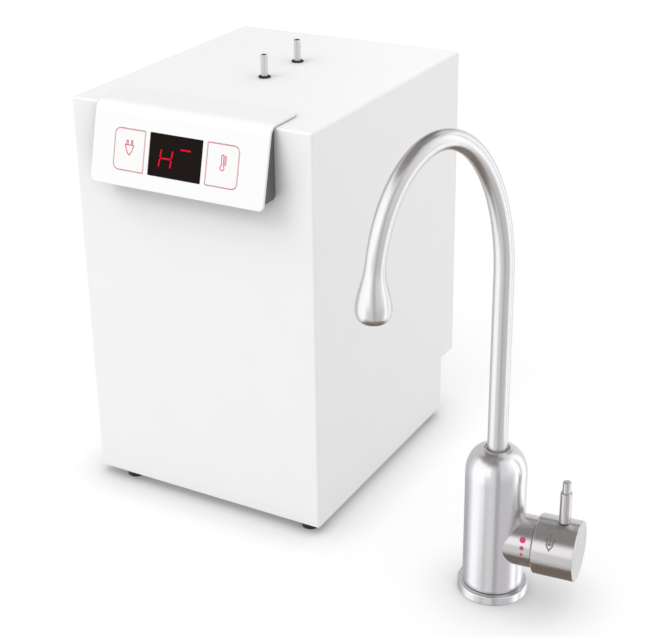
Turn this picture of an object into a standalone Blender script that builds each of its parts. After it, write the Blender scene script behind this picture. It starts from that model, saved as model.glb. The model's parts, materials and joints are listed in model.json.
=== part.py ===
"""Under-sink water dispenser: a heater cabinet with a clip-on control hood, and its swan-neck faucet.

Every piece of the set is one object, at its real size in metres, with +Z up. The origin is on the
floor, in the middle of the ground that the cabinet and the faucet cover together.
"""

import math

import bmesh
import bpy
from mathutils import Matrix, Vector

# Values that every piece shares
CLEARANCE = 0.0003
OVERRUN = 0.003
WELD = 0.000002
SHEET = 0.0012
ROUND_STEPS = 28
SMALL_STEPS = 16
PIPE_SIDES = 10
HEX_SIDES = 6
SHARP_EDGE = math.radians(33)
ROUND_PROFILE_SHARE = 0.5

# Where the two halves of the set stand
HEATER_X = -0.120548
HEATER_Y = 0.057307
FAUCET_FROM_HEATER_X = 0.288
FAUCET_FROM_HEATER_Y = -0.1396
FAUCET_TURN = math.radians(6)

# Cabinet
CASE_WIDTH = 0.243
CASE_DEPTH = 0.288
CASE_HEIGHT = 0.372
CASE_EDGE = 0.0022
CASE_EDGE_STEPS = 3
REAR_LIP = 0.010
NOTCH_DEPTH = 0.029
NOTCH_HEIGHT = 0.057
CABLE_HOLE_RADIUS = 0.006
TRAY_WALL = 0.016

# Feet
FOOT_HEIGHT = 0.008
FOOT_RADIUS = 0.009
FOOT_TAPER = 0.0008
FOOT_EDGE = 0.001
FOOT_PLUG_RADIUS = 0.003
FOOT_PLUG_RISE = 0.0022
FOOT_SCREW_RADIUS = 0.0014
FOOT_POCKET_RADIUS = 0.004
FOOT_POCKET_DEPTH = 0.005
FOOT_FROM_LEFT = 0.032
FOOT_FROM_RIGHT = 0.0155
FOOT_FROM_FRONT = 0.0125
FOOT_FROM_RECESS = 0.018

# Louvres of the rear panel
LOUVRE_COUNT = 9
LOUVRE_PITCH = 0.011
LOUVRE_WIDTH = 0.120
LOUVRE_SLOT = 0.0045
LOUVRE_REACH = 0.0035
LOUVRE_TOP_MARGIN = 0.040
LOUVRE_STEPS = 5

# Control hood
HOOD_WIDTH = 0.176
HOOD_SHIFT = -0.003
HOOD_THICKNESS = 0.0025
HOOD_FACE_MARGIN = 0.014
HOOD_PLATE_SHIFT = 0.002
HOOD_TOP = 0.044
HOOD_OVERHANG = 0.0057
HOOD_BEND = 0.0105
HOOD_BEND_STEPS = 8
HOOD_LOW_CORNER = 0.005
HOOD_REAR_CORNER = 0.0075
HOOD_TILT = math.radians(14.3)
CORNER_STEPS = 5

# Window and keys in the hood's face
GROUP_DROP = 0.0205
GROUP_HEIGHT = 0.0362
WINDOW_WIDTH = 0.053
WINDOW_CORNER = 0.0006
KEY_WIDTH = 0.0315
KEY_SPACE = 0.0050
KEY_OUTER_CORNER = 0.0055
KEY_INNER_CORNER = 0.0007
KEY_TRAVEL = 0.0005
SKIRT = 0.0012
SKIRT_THICKNESS = 0.001
KEY_STEM_RADIUS = 0.002

# Electronics behind the hood's face
BOARD_GAP = 0.0005
BOARD_THICKNESS = 0.0012
BOARD_SIDE_MARGIN = 0.0045
BOARD_OVER_GROUP = 0.0025
SWITCH_SIDE = 0.006
SWITCH_BODY = 0.0012
SWITCH_HEIGHT = 0.0017
SWITCH_BUTTON_RADIUS = 0.0017
DISPLAY_MARGIN = 0.0055
DISPLAY_SIDE_MARGIN = 0.0015

# Dark housing behind the hood
HOUSING_INSET = 0.001
HOUSING_WALL = 0.0015
HOUSING_DROP = 0.005
HOUSING_RISE = 0.0045
HOUSING_CORNER = 0.004
BOSS_RADIUS = 0.0025
BOSS_FROM_SIDE = 0.006
BOSS_FROM_EDGE = 0.004

# Water stubs on the top
STUB_X = 0.0005
STUB_FRONT_Y = -0.017
STUB_SPACING = 0.060
STUB_RADIUS = 0.003175
STUB_BORE = 0.0021
STUB_RISE = 0.0212
GROMMET_RADIUS = 0.0057
GROMMET_RISE = 0.0016
GROMMET_NECK = 0.0008
GROMMET_INNER = 0.0010

# Hot tank
TANK_X = 0.0
TANK_FRONT_GAP = 0.016
TANK_CLEAR = 0.041
TANK_HEAD_ROOM = 0.0948
TANK_WALL = 0.001
TANK_CORNER = 0.010
TANK_FLANGE = 0.008
TANK_FLANGE_THICKNESS = 0.0015
LID_THICKNESS = 0.0015
LID_RISE = 0.006
LID_SHOULDER = 0.012
SEAL_THICKNESS = 0.002
JACKET_THICKNESS = 0.0115

# Stand of the tank
STAND_WIDTH = 0.028
STAND_SHEET = 0.0015
STAND_LEGS = 4
STAND_LEG_WIDTH = 0.012
STAND_LEG_FOOT = 0.012
STAND_LEG_FROM_RIM = 0.012

# Heating element
ELEMENT_RADIUS = 0.004
ELEMENT_FROM_WALL = 0.022
ELEMENT_LEG_X = 0.015
ELEMENT_LEG_Y = 0.020
ELEMENT_LIFT = 0.030
ELEMENT_BEND = 0.010
ELEMENT_BELOW = 0.014
ELEMENT_NUT = 0.0085
ELEMENT_NUT_HEIGHT = 0.005
ELEMENT_LOOP_STEPS = 24
ELEMENT_SIDES = 8
ELEMENT_BEND_STEPS = 4

# Things on the tank's lid
PIPE_NUT = 0.0085
PIPE_NUT_HEIGHT = 0.006
PIPE_DIP = 0.006
CUTOUT_PLACE_SHARES = (-0.554, -0.123)
CUTOUT_RADIUS = 0.008
CUTOUT_HEIGHT = 0.009
CUTOUT_FLANGE = 0.0115
CUTOUT_FLANGE_THICKNESS = 0.001
BLADE_WIDTH = 0.0048
BLADE_THICKNESS = 0.0008
BLADE_LENGTH = 0.008
BLADE_SPREAD = 0.0045
PROBE_PLACE_SHARES = (0.554, -0.123)
PROBE_RADIUS = 0.0025
PROBE_LENGTH = 0.070
PROBE_HEAD = 0.007
PROBE_HEAD_HEIGHT = 0.006
PROBE_TAIL = 0.004
PROBE_TAIL_HEIGHT = 0.008

# Chassis plate behind the tank, and the power board on it
CHASSIS_GAP = 0.0132
CHASSIS_HEAD_ROOM = 0.1205
SERVICE_BAY = 0.0801
CHASSIS_SIDE_GAP = 0.008
CHASSIS_FOOT = 0.014
PIPE_SLOT = 0.008
PIPE_SLOT_HEIGHT = 0.042
POWER_BOARD_THICKNESS = 0.0016
POWER_BOARD_FROM_SIDE = 0.0083
POWER_BOARD_FROM_TOP = 0.0315
STANDOFF = 0.008
STANDOFF_RADIUS = 0.003
STANDOFF_INSET = 0.006
TRANSFORMER_SIZE = (0.036, 0.028, 0.031)
RELAY_SIZE = (0.020, 0.016, 0.016)
TERMINAL_SIZE = (0.046, 0.013, 0.012)
COMPONENT_INSET = 0.010
COMPONENT_SPACE_X = 0.012
COMPONENT_SPACE_Z = 0.053
COMPONENT_EDGE = 0.001

# Fill valve
VALVE_FROM_SIDE = 0.0473
VALVE_FROM_PLATE = 0.0268
VALVE_FROM_FOOT = 0.1405
VALVE_RADIUS = 0.009
VALVE_HALF = 0.028
VALVE_END = 0.0115
VALVE_END_HEIGHT = 0.008
VALVE_BOSS = 0.006
COIL_RADIUS = 0.014
COIL_LENGTH = 0.026
COIL_EDGE = 0.0015
SOCKET_DEPTH = 0.007

# Pipes
PIPE_BEND = 0.014
PIPE_BEND_STEPS = 4
INLET_TURN_DROP = 0.050
FEED_PORT_SHARES = (0.598717949, 0.512820513)
DRAIN_PORT_SHARES = (-0.547435897, 0.512820513)
PIPE_RUN_Z = 0.026
DRAIN_RADIUS = 0.0048
DRAIN_BORE = 0.0034
DRAIN_Z = 0.034
DRAIN_OUT = 0.016
DRAIN_CAP_RADIUS = 0.0085
DRAIN_CAP_LENGTH = 0.014
DRAIN_CAP_FLOOR = 0.002
DRAIN_COLLAR = 0.0075
DRAIN_COLLAR_LENGTH = 0.004

# Mains cord gland, with no cord in it
GLAND_X = 0.072
GLAND_Z = 0.036
GLAND_NECK = 0.008
GLAND_FLANGE = 0.011
GLAND_FLANGE_THICKNESS = 0.0025
GLAND_NOSE = 0.010
GLAND_NOSE_RADIUS = 0.0062
GLAND_INSIDE = 0.008
GLAND_BORE = 0.0036

# Faucet
FLANGE_RADIUS = 0.0296
FLANGE_HEIGHT = 0.008
FLANGE_EDGE = 0.0010
FLANGE_HOLE = 0.0185
FLANGE_SPIGOT_RISE = 0.004
FLANGE_SPIGOT_WALL = 0.0018
BODY_RADIUS = 0.0255
BODY_SHOULDER = 0.112
BODY_TOP = 0.1345
BODY_WELL = 0.013
DOME_STEPS = 7
BODY_STEPS = 36
KNOB_Z = 0.0525
COLLAR_RADIUS = 0.0217
COLLAR_END = 0.0366
COLLAR_EDGE = 0.0004
POCKET_RADIUS = 0.0175
POCKET_FLOOR = 0.009
DRILLING = 0.0035
DRILLING_OFFSET = 0.008

# Cartridge, its nut and its spindle
CARTRIDGE_LENGTH = 0.0205
CARTRIDGE_STEP = 0.0015
CARTRIDGE_NECK = 0.009
CARTRIDGE_NECK_LENGTH = 0.004
NUT_LENGTH = 0.005
SPINDLE_RADIUS = 0.0042
SPINDLE_SEAT = 0.006
SPINDLE_GRIP = 0.010

# Knob and its lever pin
KNOB_GAP = 0.0008
KNOB_RADIUS = 0.0253
KNOB_LENGTH = 0.0350
KNOB_EDGE = 0.0012
KNOB_FACE_EDGE = 0.0005
KNOB_WALL = 0.0048
KNOB_FACE = 0.0055
HUB_RADIUS = 0.008
HUB_LENGTH = 0.024
LEVER_PLACE_SHARE = 0.618
LEVER_RADIUS = 0.00485
LEVER_LENGTH = 0.0275
LEVER_TIP_RADIUS = 0.0035
LEVER_TIP_LENGTH = 0.0098
LEVER_EDGE = 0.0004
LEVER_SPIGOT = 0.0026
LEVER_SPIGOT_LENGTH = 0.0040

# Spout
SPOUT_YAW = math.radians(-118.5)
SPOUT_FOOT_RADIUS = 0.0083
SPOUT_NECK_RADIUS = 0.0070
SPOUT_WALL = 0.0014
SPOUT_SIDES = 18
ARCH_BASE = 0.288
ARCH_HALF = 0.061
ARCH_RISE = 0.121
ARCH_FALL = 0.108
ARCH_STEPS = 22
OUTLET_DROP = 0.0205
FLARE_LENGTH = 0.044
FLARE_STEPS = 6
BULB_RADIUS = 0.0141
BULB_HEIGHT = 0.0095
BULB_STEPS = 4
MOUTH_RADIUS = 0.0082
THROAT_RADIUS = 0.0062
THROAT_SPACE = 0.0009
SPIGOT_DEPTH = 0.036
SPIGOT_GROOVE = 0.0017
SPIGOT_RING_WIDTH = 0.0024
SPIGOT_RING_LOW = 0.006
SPIGOT_RING_PITCH = 0.009
SEAL_CORD = 0.0008
SEAL_STEPS = 8
BUSH_DEPTH = 0.012
BUSH_WALL = 0.0016
BUSH_RECESS = 0.0008
NOZZLE_LENGTH = 0.0085
NOZZLE_RECESS = 0.0006
NOZZLE_HOLES = 6
NOZZLE_HOLE_STEPS = 8
NOZZLE_HOLE_RADIUS = 0.0009
NOZZLE_RING = 0.0036

# Planes of the cabinet, from the sizes above
SIDE = CASE_WIDTH / 2
FRONT = -CASE_DEPTH / 2
REAR = CASE_DEPTH / 2
CASE_TOP = FOOT_HEIGHT + CASE_HEIGHT
TRAY_FLOOR = FOOT_HEIGHT + SHEET
NOTCH_TOP = FOOT_HEIGHT + NOTCH_HEIGHT
RECESS = REAR - NOTCH_DEPTH
INNER_SIDE = SIDE - SHEET - CLEARANCE
REAR_PANEL_BACK = REAR - SHEET - CLEARANCE
STUB_REAR_Y = STUB_FRONT_Y + STUB_SPACING
PANEL_FACE = REAR_PANEL_BACK - SHEET
HOOD_FACE = GROUP_DROP + GROUP_HEIGHT + HOOD_FACE_MARGIN
TANK_SPACE = PANEL_FACE - SERVICE_BAY - SHEET - CHASSIS_GAP - TANK_FRONT_GAP - FRONT - SHEET
JACKET_RADIUS = TANK_SPACE / 2
TANK_RADIUS = JACKET_RADIUS - JACKET_THICKNESS - CLEARANCE
TANK_Y = FRONT + SHEET + TANK_FRONT_GAP + JACKET_RADIUS
TANK_BASE = TRAY_FLOOR + TANK_CLEAR
TANK_TOP = CASE_TOP - TANK_HEAD_ROOM
STAND_BORE = TANK_RADIUS + JACKET_THICKNESS - STAND_WIDTH
FEED_X, FEED_Y = (share * STAND_BORE for share in FEED_PORT_SHARES)
DRAIN_X, DRAIN_Y = (share * STAND_BORE for share in DRAIN_PORT_SHARES)
LID_BASE = TANK_TOP + SEAL_THICKNESS + 2 * CLEARANCE
LID_TOP = LID_BASE + LID_RISE + LID_THICKNESS
CHASSIS_Y = TANK_Y + JACKET_RADIUS + CHASSIS_GAP
CHASSIS_BACK = CHASSIS_Y + SHEET
CHASSIS_HALF = SIDE - SHEET - CHASSIS_SIDE_GAP
CHASSIS_BASE = TRAY_FLOOR + CLEARANCE
CHASSIS_TOP = CASE_TOP - CHASSIS_HEAD_ROOM
VALVE_X = CHASSIS_HALF - VALVE_FROM_SIDE
VALVE_Y = CHASSIS_BACK + VALVE_FROM_PLATE
VALVE_Z = CHASSIS_BASE + VALVE_FROM_FOOT
POWER_BOARD_WIDTH = 2 * COMPONENT_INSET + TRANSFORMER_SIZE[0] + COMPONENT_SPACE_X + RELAY_SIZE[0]
POWER_BOARD_HEIGHT = 2 * COMPONENT_INSET + TRANSFORMER_SIZE[2] + COMPONENT_SPACE_Z + TERMINAL_SIZE[2]
POWER_BOARD_X = POWER_BOARD_FROM_SIDE + POWER_BOARD_WIDTH / 2 - CHASSIS_HALF
POWER_BOARD_Z = CHASSIS_TOP - POWER_BOARD_FROM_TOP - POWER_BOARD_HEIGHT / 2

PAINTS = {
    "white_steel": ((0.86, 0.86, 0.86), 0.38, 0.0),
    "galvanised": ((0.62, 0.64, 0.66), 0.42, 0.9),
    "stainless": ((0.70, 0.69, 0.68), 0.28, 1.0),
    "white_gloss": ((0.92, 0.92, 0.92), 0.12, 0.0),
    "dark_plastic": ((0.10, 0.10, 0.11), 0.50, 0.0),
    "black_lens": ((0.012, 0.010, 0.010), 0.06, 0.0),
    "black_rubber": ((0.018, 0.018, 0.018), 0.75, 0.0),
    "green_board": ((0.02, 0.16, 0.07), 0.45, 0.0),
    "foam": ((0.80, 0.79, 0.74), 0.90, 0.0),
    "brass": ((0.72, 0.55, 0.26), 0.30, 1.0),
    "white_plastic": ((0.82, 0.82, 0.80), 0.45, 0.0),
    "brushed_steel": ((0.68, 0.66, 0.65), 0.30, 1.0),
    "coil_blue": ((0.05, 0.10, 0.28), 0.50, 0.0),
}


def clear_scene():
    for obj in list(bpy.data.objects):
        bpy.data.objects.remove(obj, do_unlink=True)


def paint(name):
    """The Principled material of this name, made the first time that it is asked for."""
    found = bpy.data.materials.get(name)
    if found:
        return found
    colour, roughness, metallic = PAINTS[name]
    made = bpy.data.materials.new(name)
    made.use_nodes = True
    shader = made.node_tree.nodes["Principled BSDF"]
    shader.inputs["Base Color"].default_value = (*colour, 1.0)
    shader.inputs["Roughness"].default_value = roughness
    shader.inputs["Metallic"].default_value = metallic
    return made


def frame(name, location, rotation=(0, 0, 0), parent=None):
    """An empty that carries a group of pieces, or marks a joint's axis."""
    empty = bpy.data.objects.new(name, None)
    empty.location = location
    empty.rotation_euler = rotation
    empty.parent = parent
    bpy.context.scene.collection.objects.link(empty)
    return empty


def place(name, mesh_maker, finish, parent=None, location=(0, 0, 0), rotation=(0, 0, 0)):
    """Makes one object from a bmesh."""
    mesh = bpy.data.meshes.new(name)
    mesh_maker.to_mesh(mesh)
    mesh_maker.free()
    mesh.shade_smooth()
    mesh.set_sharp_from_angle(angle=SHARP_EDGE)
    mesh.materials.append(paint(finish))
    obj = bpy.data.objects.new(name, mesh)
    obj.location = location
    obj.rotation_euler = rotation
    obj.parent = parent
    bpy.context.scene.collection.objects.link(obj)
    return obj


def combine(target, operation, mesh_maker, location=(0, 0, 0), rotation=(0, 0, 0)):
    """Adds a Boolean to target, whose other shape is placed in target's own frame."""
    tool = place(f"{target.name}_tool", mesh_maker, "galvanised", target, location, rotation)
    tool.hide_render = True
    tool.display_type = "WIRE"
    modifier = target.modifiers.new(operation.title(), "BOOLEAN")
    modifier.operation = operation
    modifier.solver = "EXACT"
    modifier.object = tool


def cut(target, mesh_maker, location=(0, 0, 0), rotation=(0, 0, 0)):
    combine(target, "DIFFERENCE", mesh_maker, location, rotation)


def join(target, mesh_maker, location=(0, 0, 0), rotation=(0, 0, 0)):
    combine(target, "UNION", mesh_maker, location, rotation)


def facing_out(made):
    """Turns every face of a closed bmesh outwards."""
    bmesh.ops.recalc_face_normals(made, faces=made.faces)
    if made.calc_volume(signed=True) < 0:
        bmesh.ops.reverse_faces(made, faces=made.faces)
    return made


def block(low, high, edge=0.0, edge_steps=2):
    """A box between two corners, with its edges rounded where edge isn't zero."""
    made = bmesh.new()
    bmesh.ops.create_cube(made, size=1.0)
    low, high = Vector(low), Vector(high)
    bmesh.ops.scale(made, vec=high - low, verts=made.verts)
    bmesh.ops.translate(made, vec=(low + high) / 2, verts=made.verts)
    if edge:
        bmesh.ops.bevel(
            made, geom=made.edges[:], offset=edge, segments=edge_steps,
            profile=ROUND_PROFILE_SHARE, affect="EDGES",
        )
    return facing_out(made)


def rod(radius, low, high, steps=SMALL_STEPS):
    """A cylinder along Z from low to high."""
    return turned([(0, low), (radius, low), (radius, high), (0, high)], steps)


def turned(profile, steps=ROUND_STEPS):
    """Spins a closed outline of (radius, height) points about Z."""
    made = bmesh.new()
    points = [made.verts.new((radius, 0, height)) for radius, height in profile]
    pairs = zip(points, points[1:] + points[:1])
    edges = [
        made.edges.new(pair) for pair in pairs if pair[0].co.x > WELD or pair[1].co.x > WELD
    ]
    bmesh.ops.spin(
        made, geom=points + edges, cent=(0, 0, 0), axis=(0, 0, 1),
        angle=2 * math.pi, steps=steps, use_merge=True,
    )
    bmesh.ops.remove_doubles(made, verts=made.verts, dist=WELD)
    return facing_out(made)


def arc(centre, radius, start, end, steps):
    """Points of an arc in a plane, both ends included. radius is one value, or one for each axis."""
    across, up = radius if isinstance(radius, tuple) else (radius, radius)
    angles = [start + (end - start) * step / steps for step in range(steps + 1)]
    return [(centre[0] + across * math.cos(a), centre[1] + up * math.sin(a)) for a in angles]


def rounded_outline(low, high, corners, steps=CORNER_STEPS):
    """A rectangle's outline, anticlockwise from its low corner, with one radius for each corner."""
    quarter = math.pi / 2
    places = (
        (low[0], low[1], 1, 1), (high[0], low[1], -1, 1),
        (high[0], high[1], -1, -1), (low[0], high[1], 1, -1),
    )
    points = []
    for turn, ((x, y, side_x, side_y), radius) in enumerate(zip(places, corners)):
        centre = (x + side_x * radius, y + side_y * radius)
        start = math.pi + turn * quarter
        points += arc(centre, radius, start, start + quarter, steps)
    return points


def prism(outline, low, high, holes=()):
    """Extrudes an outline in XY from low to high, with holes through it."""
    made = bmesh.new()
    edges = []
    for loop in (outline, *holes):
        points = [made.verts.new((x, y, low)) for x, y in loop]
        edges += [made.edges.new(pair) for pair in zip(points, points[1:] + points[:1])]
    if holes:
        bmesh.ops.triangle_fill(made, edges=edges, use_beauty=True)
    else:
        made.faces.new(made.verts[:])
    raised = bmesh.ops.extrude_face_region(made, geom=made.faces[:])["geom"]
    bmesh.ops.translate(
        made, vec=(0, 0, high - low), verts=[v for v in raised if isinstance(v, bmesh.types.BMVert)]
    )
    return facing_out(made)


def channel(profile, half_width):
    """Extrudes a (y, z) profile along X, to half_width on each side."""
    made = prism([(y, z) for y, z in profile], -half_width, half_width)
    turn = Matrix(((0, 0, 1), (1, 0, 0), (0, 1, 0))).to_4x4()
    bmesh.ops.transform(made, matrix=turn, verts=made.verts)
    return facing_out(made)


def frames_along(points):
    """A tangent, a normal and a binormal at each point, turned as little as possible on the way."""
    tangents = []
    for index in range(len(points)):
        ahead = points[min(index + 1, len(points) - 1)]
        behind = points[max(index - 1, 0)]
        tangents.append((ahead - behind).normalized())
    normal = tangents[0].orthogonal().normalized()
    found = []
    for tangent in tangents:
        normal = (normal - tangent * normal.dot(tangent)).normalized()
        found.append((tangent, normal, tangent.cross(normal)))
    return found


def swept(points, radii, sides=PIPE_SIDES, bores=None):
    """A round bar through the points, or a tube where bores gives its inner radii."""
    made = bmesh.new()
    frames = frames_along(points)

    def rings(sizes):
        rows = []
        for point, (_, normal, side), radius in zip(points, frames, sizes):
            row = []
            for step in range(sides):
                angle = 2 * math.pi * step / sides
                spoke = normal * math.cos(angle) + side * math.sin(angle)
                row.append(made.verts.new(point + spoke * radius))
            rows.append(row)
        for lower, upper in zip(rows, rows[1:]):
            bridge(lower, upper)
        return rows

    def bridge(lower, upper):
        for step in range(sides):
            after = (step + 1) % sides
            made.faces.new((lower[step], lower[after], upper[after], upper[step]))

    outside = rings(radii)
    if bores:
        inside = rings(bores)
        bridge(outside[0], inside[0])
        bridge(inside[-1], outside[-1])
    else:
        made.faces.new(outside[0])
        made.faces.new(outside[-1])
    return facing_out(made)


def bent_route(corners, bend, steps=PIPE_BEND_STEPS):
    """Straight runs through the corners, with a quadratic curve of reach bend at each one."""
    corners = [Vector(corner) for corner in corners]
    route = [corners[0]]
    for before, corner, after in zip(corners, corners[1:], corners[2:]):
        reach = min(bend, (before - corner).length / 2, (after - corner).length / 2)
        start = corner + (before - corner).normalized() * reach
        end = corner + (after - corner).normalized() * reach
        for step in range(steps + 1):
            t = step / steps
            route.append(start * (1 - t) ** 2 + corner * 2 * t * (1 - t) + end * t**2)
    return route + [corners[-1]]


def turned_along_x(made):
    """Lays a shape that was turned about Z down along X."""
    bmesh.ops.rotate(
        made, cent=(0, 0, 0), matrix=Matrix.Rotation(math.pi / 2, 3, "Y"), verts=made.verts
    )
    return made


def turned_along_y(made):
    """Lays a shape that was turned about Z down along Y."""
    bmesh.ops.rotate(
        made, cent=(0, 0, 0), matrix=Matrix.Rotation(-math.pi / 2, 3, "X"), verts=made.verts
    )
    return made


def outer_case(heater):
    """Front, top and sides as one folded cover, open below and behind, with a lip round the back."""
    made = bmesh.new()
    bmesh.ops.create_cube(made, size=1.0)
    bmesh.ops.scale(made, vec=(CASE_WIDTH, CASE_DEPTH, CASE_HEIGHT), verts=made.verts)
    bmesh.ops.translate(made, vec=(0, 0, FOOT_HEIGHT + CASE_HEIGHT / 2), verts=made.verts)
    under = [e for e in made.edges if max(v.co.z for v in e.verts) < FOOT_HEIGHT + WELD]
    folded = [e for e in made.edges if e not in under]
    bmesh.ops.bevel(
        made, geom=folded, offset=CASE_EDGE, segments=CASE_EDGE_STEPS,
        profile=ROUND_PROFILE_SHARE, affect="EDGES",
    )
    case = place("outer_case", facing_out(made), "white_steel", heater)
    below = FOOT_HEIGHT - OVERRUN
    cut(case, block((SHEET - SIDE, FRONT + SHEET, below), (SIDE - SHEET, REAR - SHEET, CASE_TOP - SHEET)))
    lip = SIDE - REAR_LIP
    cut(case, block((-lip, RECESS, below), (lip, REAR + OVERRUN, CASE_TOP - REAR_LIP)))
    wide = SIDE + OVERRUN
    cut(case, block((-wide, RECESS, below), (wide, REAR + OVERRUN, NOTCH_TOP)))
    hole = GROMMET_RADIUS - GROMMET_NECK + CLEARANCE
    for y in (STUB_FRONT_Y, STUB_REAR_Y):
        cut(case, rod(hole, CASE_TOP - SHEET - OVERRUN, CASE_TOP + OVERRUN), (STUB_X, y, 0))
    cable = turned_along_y(rod(CABLE_HOLE_RADIUS, -OVERRUN, SHEET + OVERRUN))
    cut(case, cable, (HOOD_SHIFT, FRONT, cable_hole_height()))
    return case


def cable_hole_height():
    """Where the hood's cable goes through the cabinet's front, level with the window's middle."""
    return hood_corner()[1] - (GROUP_DROP + GROUP_HEIGHT / 2) * math.cos(HOOD_TILT)


def foot_places():
    left, right = FOOT_FROM_LEFT - SIDE, SIDE - FOOT_FROM_RIGHT
    front, rear = FRONT + FOOT_FROM_FRONT, RECESS - FOOT_FROM_RECESS
    return {
        "foot_front_left": (left, front), "foot_front_right": (right, front),
        "foot_rear_left": (left, rear), "foot_rear_right": (right, rear),
    }


def base_tray(heater):
    """A tray with four upturned walls, inside the cover's lower edge."""
    front, rear = FRONT + SHEET + CLEARANCE, RECESS - SHEET - CLEARANCE
    tray = place(
        "base_tray",
        block((-INNER_SIDE, front, FOOT_HEIGHT), (INNER_SIDE, rear, FOOT_HEIGHT + TRAY_WALL)),
        "galvanised", heater,
    )
    cut(tray, block(
        (SHEET - INNER_SIDE, front + SHEET, TRAY_FLOOR),
        (INNER_SIDE - SHEET, rear - SHEET, FOOT_HEIGHT + TRAY_WALL + OVERRUN),
    ))
    for x, y in foot_places().values():
        cut(tray, rod(FOOT_PLUG_RADIUS + CLEARANCE, FOOT_HEIGHT - OVERRUN, TRAY_FLOOR + OVERRUN), (x, y, 0))


def feet(heater):
    """Rubber feet, each with a plug in the tray and a pocket for its screw."""
    low = FOOT_RADIUS - FOOT_TAPER
    seat = FOOT_HEIGHT - CLEARANCE
    profile = [
        (FOOT_SCREW_RADIUS, FOOT_POCKET_DEPTH), (FOOT_POCKET_RADIUS, FOOT_POCKET_DEPTH),
        (FOOT_POCKET_RADIUS, 0), (low - FOOT_EDGE, 0), (low, FOOT_EDGE), (FOOT_RADIUS, seat),
        (FOOT_PLUG_RADIUS, seat), (FOOT_PLUG_RADIUS, FOOT_HEIGHT + FOOT_PLUG_RISE),
        (FOOT_SCREW_RADIUS, FOOT_HEIGHT + FOOT_PLUG_RISE),
    ]
    for name, (x, y) in foot_places().items():
        place(name, turned(profile, SMALL_STEPS), "black_rubber", heater, (x, y, 0))


def recess_panel(heater):
    """The stepped sheet that closes the notch: a wall, a ledge and an upturned flange."""
    bottom = TRAY_FLOOR - SHEET
    wall = RECESS - SHEET
    flange = PANEL_FACE - CLEARANCE
    profile = [
        (wall, bottom), (RECESS, bottom), (RECESS, NOTCH_TOP), (flange, NOTCH_TOP),
        (flange, NOTCH_TOP + REAR_LIP), (flange - SHEET, NOTCH_TOP + REAR_LIP),
        (flange - SHEET, NOTCH_TOP + SHEET), (wall, NOTCH_TOP + SHEET),
    ]
    panel = place("recess_panel", channel(profile, INNER_SIDE), "galvanised", heater)
    for radius, x, z in ((DRAIN_RADIUS, TANK_X + DRAIN_X, DRAIN_Z), (GLAND_NECK, GLAND_X, GLAND_Z)):
        hole = turned_along_y(rod(radius + CLEARANCE, -SHEET - OVERRUN, OVERRUN))
        cut(panel, hole, (x, RECESS, z))


def rear_panel(heater):
    """The upper rear sheet, with a ladder of lanced louvres that open downwards."""
    front = PANEL_FACE
    top = CASE_TOP - SHEET - CLEARANCE
    panel = place(
        "rear_panel",
        block((-INNER_SIDE, front, NOTCH_TOP), (INNER_SIDE, REAR_PANEL_BACK, top)),
        "galvanised", heater,
    )
    half = LOUVRE_WIDTH / 2
    for index in range(LOUVRE_COUNT):
        height = CASE_TOP - LOUVRE_TOP_MARGIN - index * LOUVRE_PITCH
        slot = block(
            (-half, front - OVERRUN, height - LOUVRE_SLOT), (half, REAR_PANEL_BACK + OVERRUN, height)
        )
        cut(panel, slot)
        quarter = math.pi / 2
        centre = (front + CLEARANCE, height - LOUVRE_SLOT)
        inner = (LOUVRE_REACH, LOUVRE_SLOT)
        outer = (LOUVRE_REACH + SHEET, LOUVRE_SLOT + SHEET)
        strip = arc(centre, outer, 0, quarter, LOUVRE_STEPS)
        strip += arc(centre, inner, quarter, 0, LOUVRE_STEPS)
        join(panel, channel(strip, half - CLEARANCE))


def hood_corner():
    """(y, z) of the sharp corner where the hood's outer top and outer face would meet."""
    return FRONT - HOOD_OVERHANG, CASE_TOP + CLEARANCE + HOOD_THICKNESS


def group_outlines(margin):
    """Outlines of the window and the two keys on the hood's face, grown by margin, by name."""
    low, high = -GROUP_DROP - GROUP_HEIGHT - margin, -GROUP_DROP + margin
    half = WINDOW_WIDTH / 2
    near, far = half + KEY_SPACE - margin, half + KEY_SPACE + KEY_WIDTH + margin
    soft, tight = KEY_OUTER_CORNER + margin, KEY_INNER_CORNER + margin
    window = WINDOW_CORNER + margin
    return {
        "display_window": rounded_outline(
            (-half - margin, low), (half + margin, high), [window] * 4, 2
        ),
        "eco_key": rounded_outline(
            (-far, low), (-near, high), (soft, tight, tight, soft)
        ),
        "keep_warm_key": rounded_outline(
            (near, low), (far, high), (tight, soft, soft, tight)
        ),
    }


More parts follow.
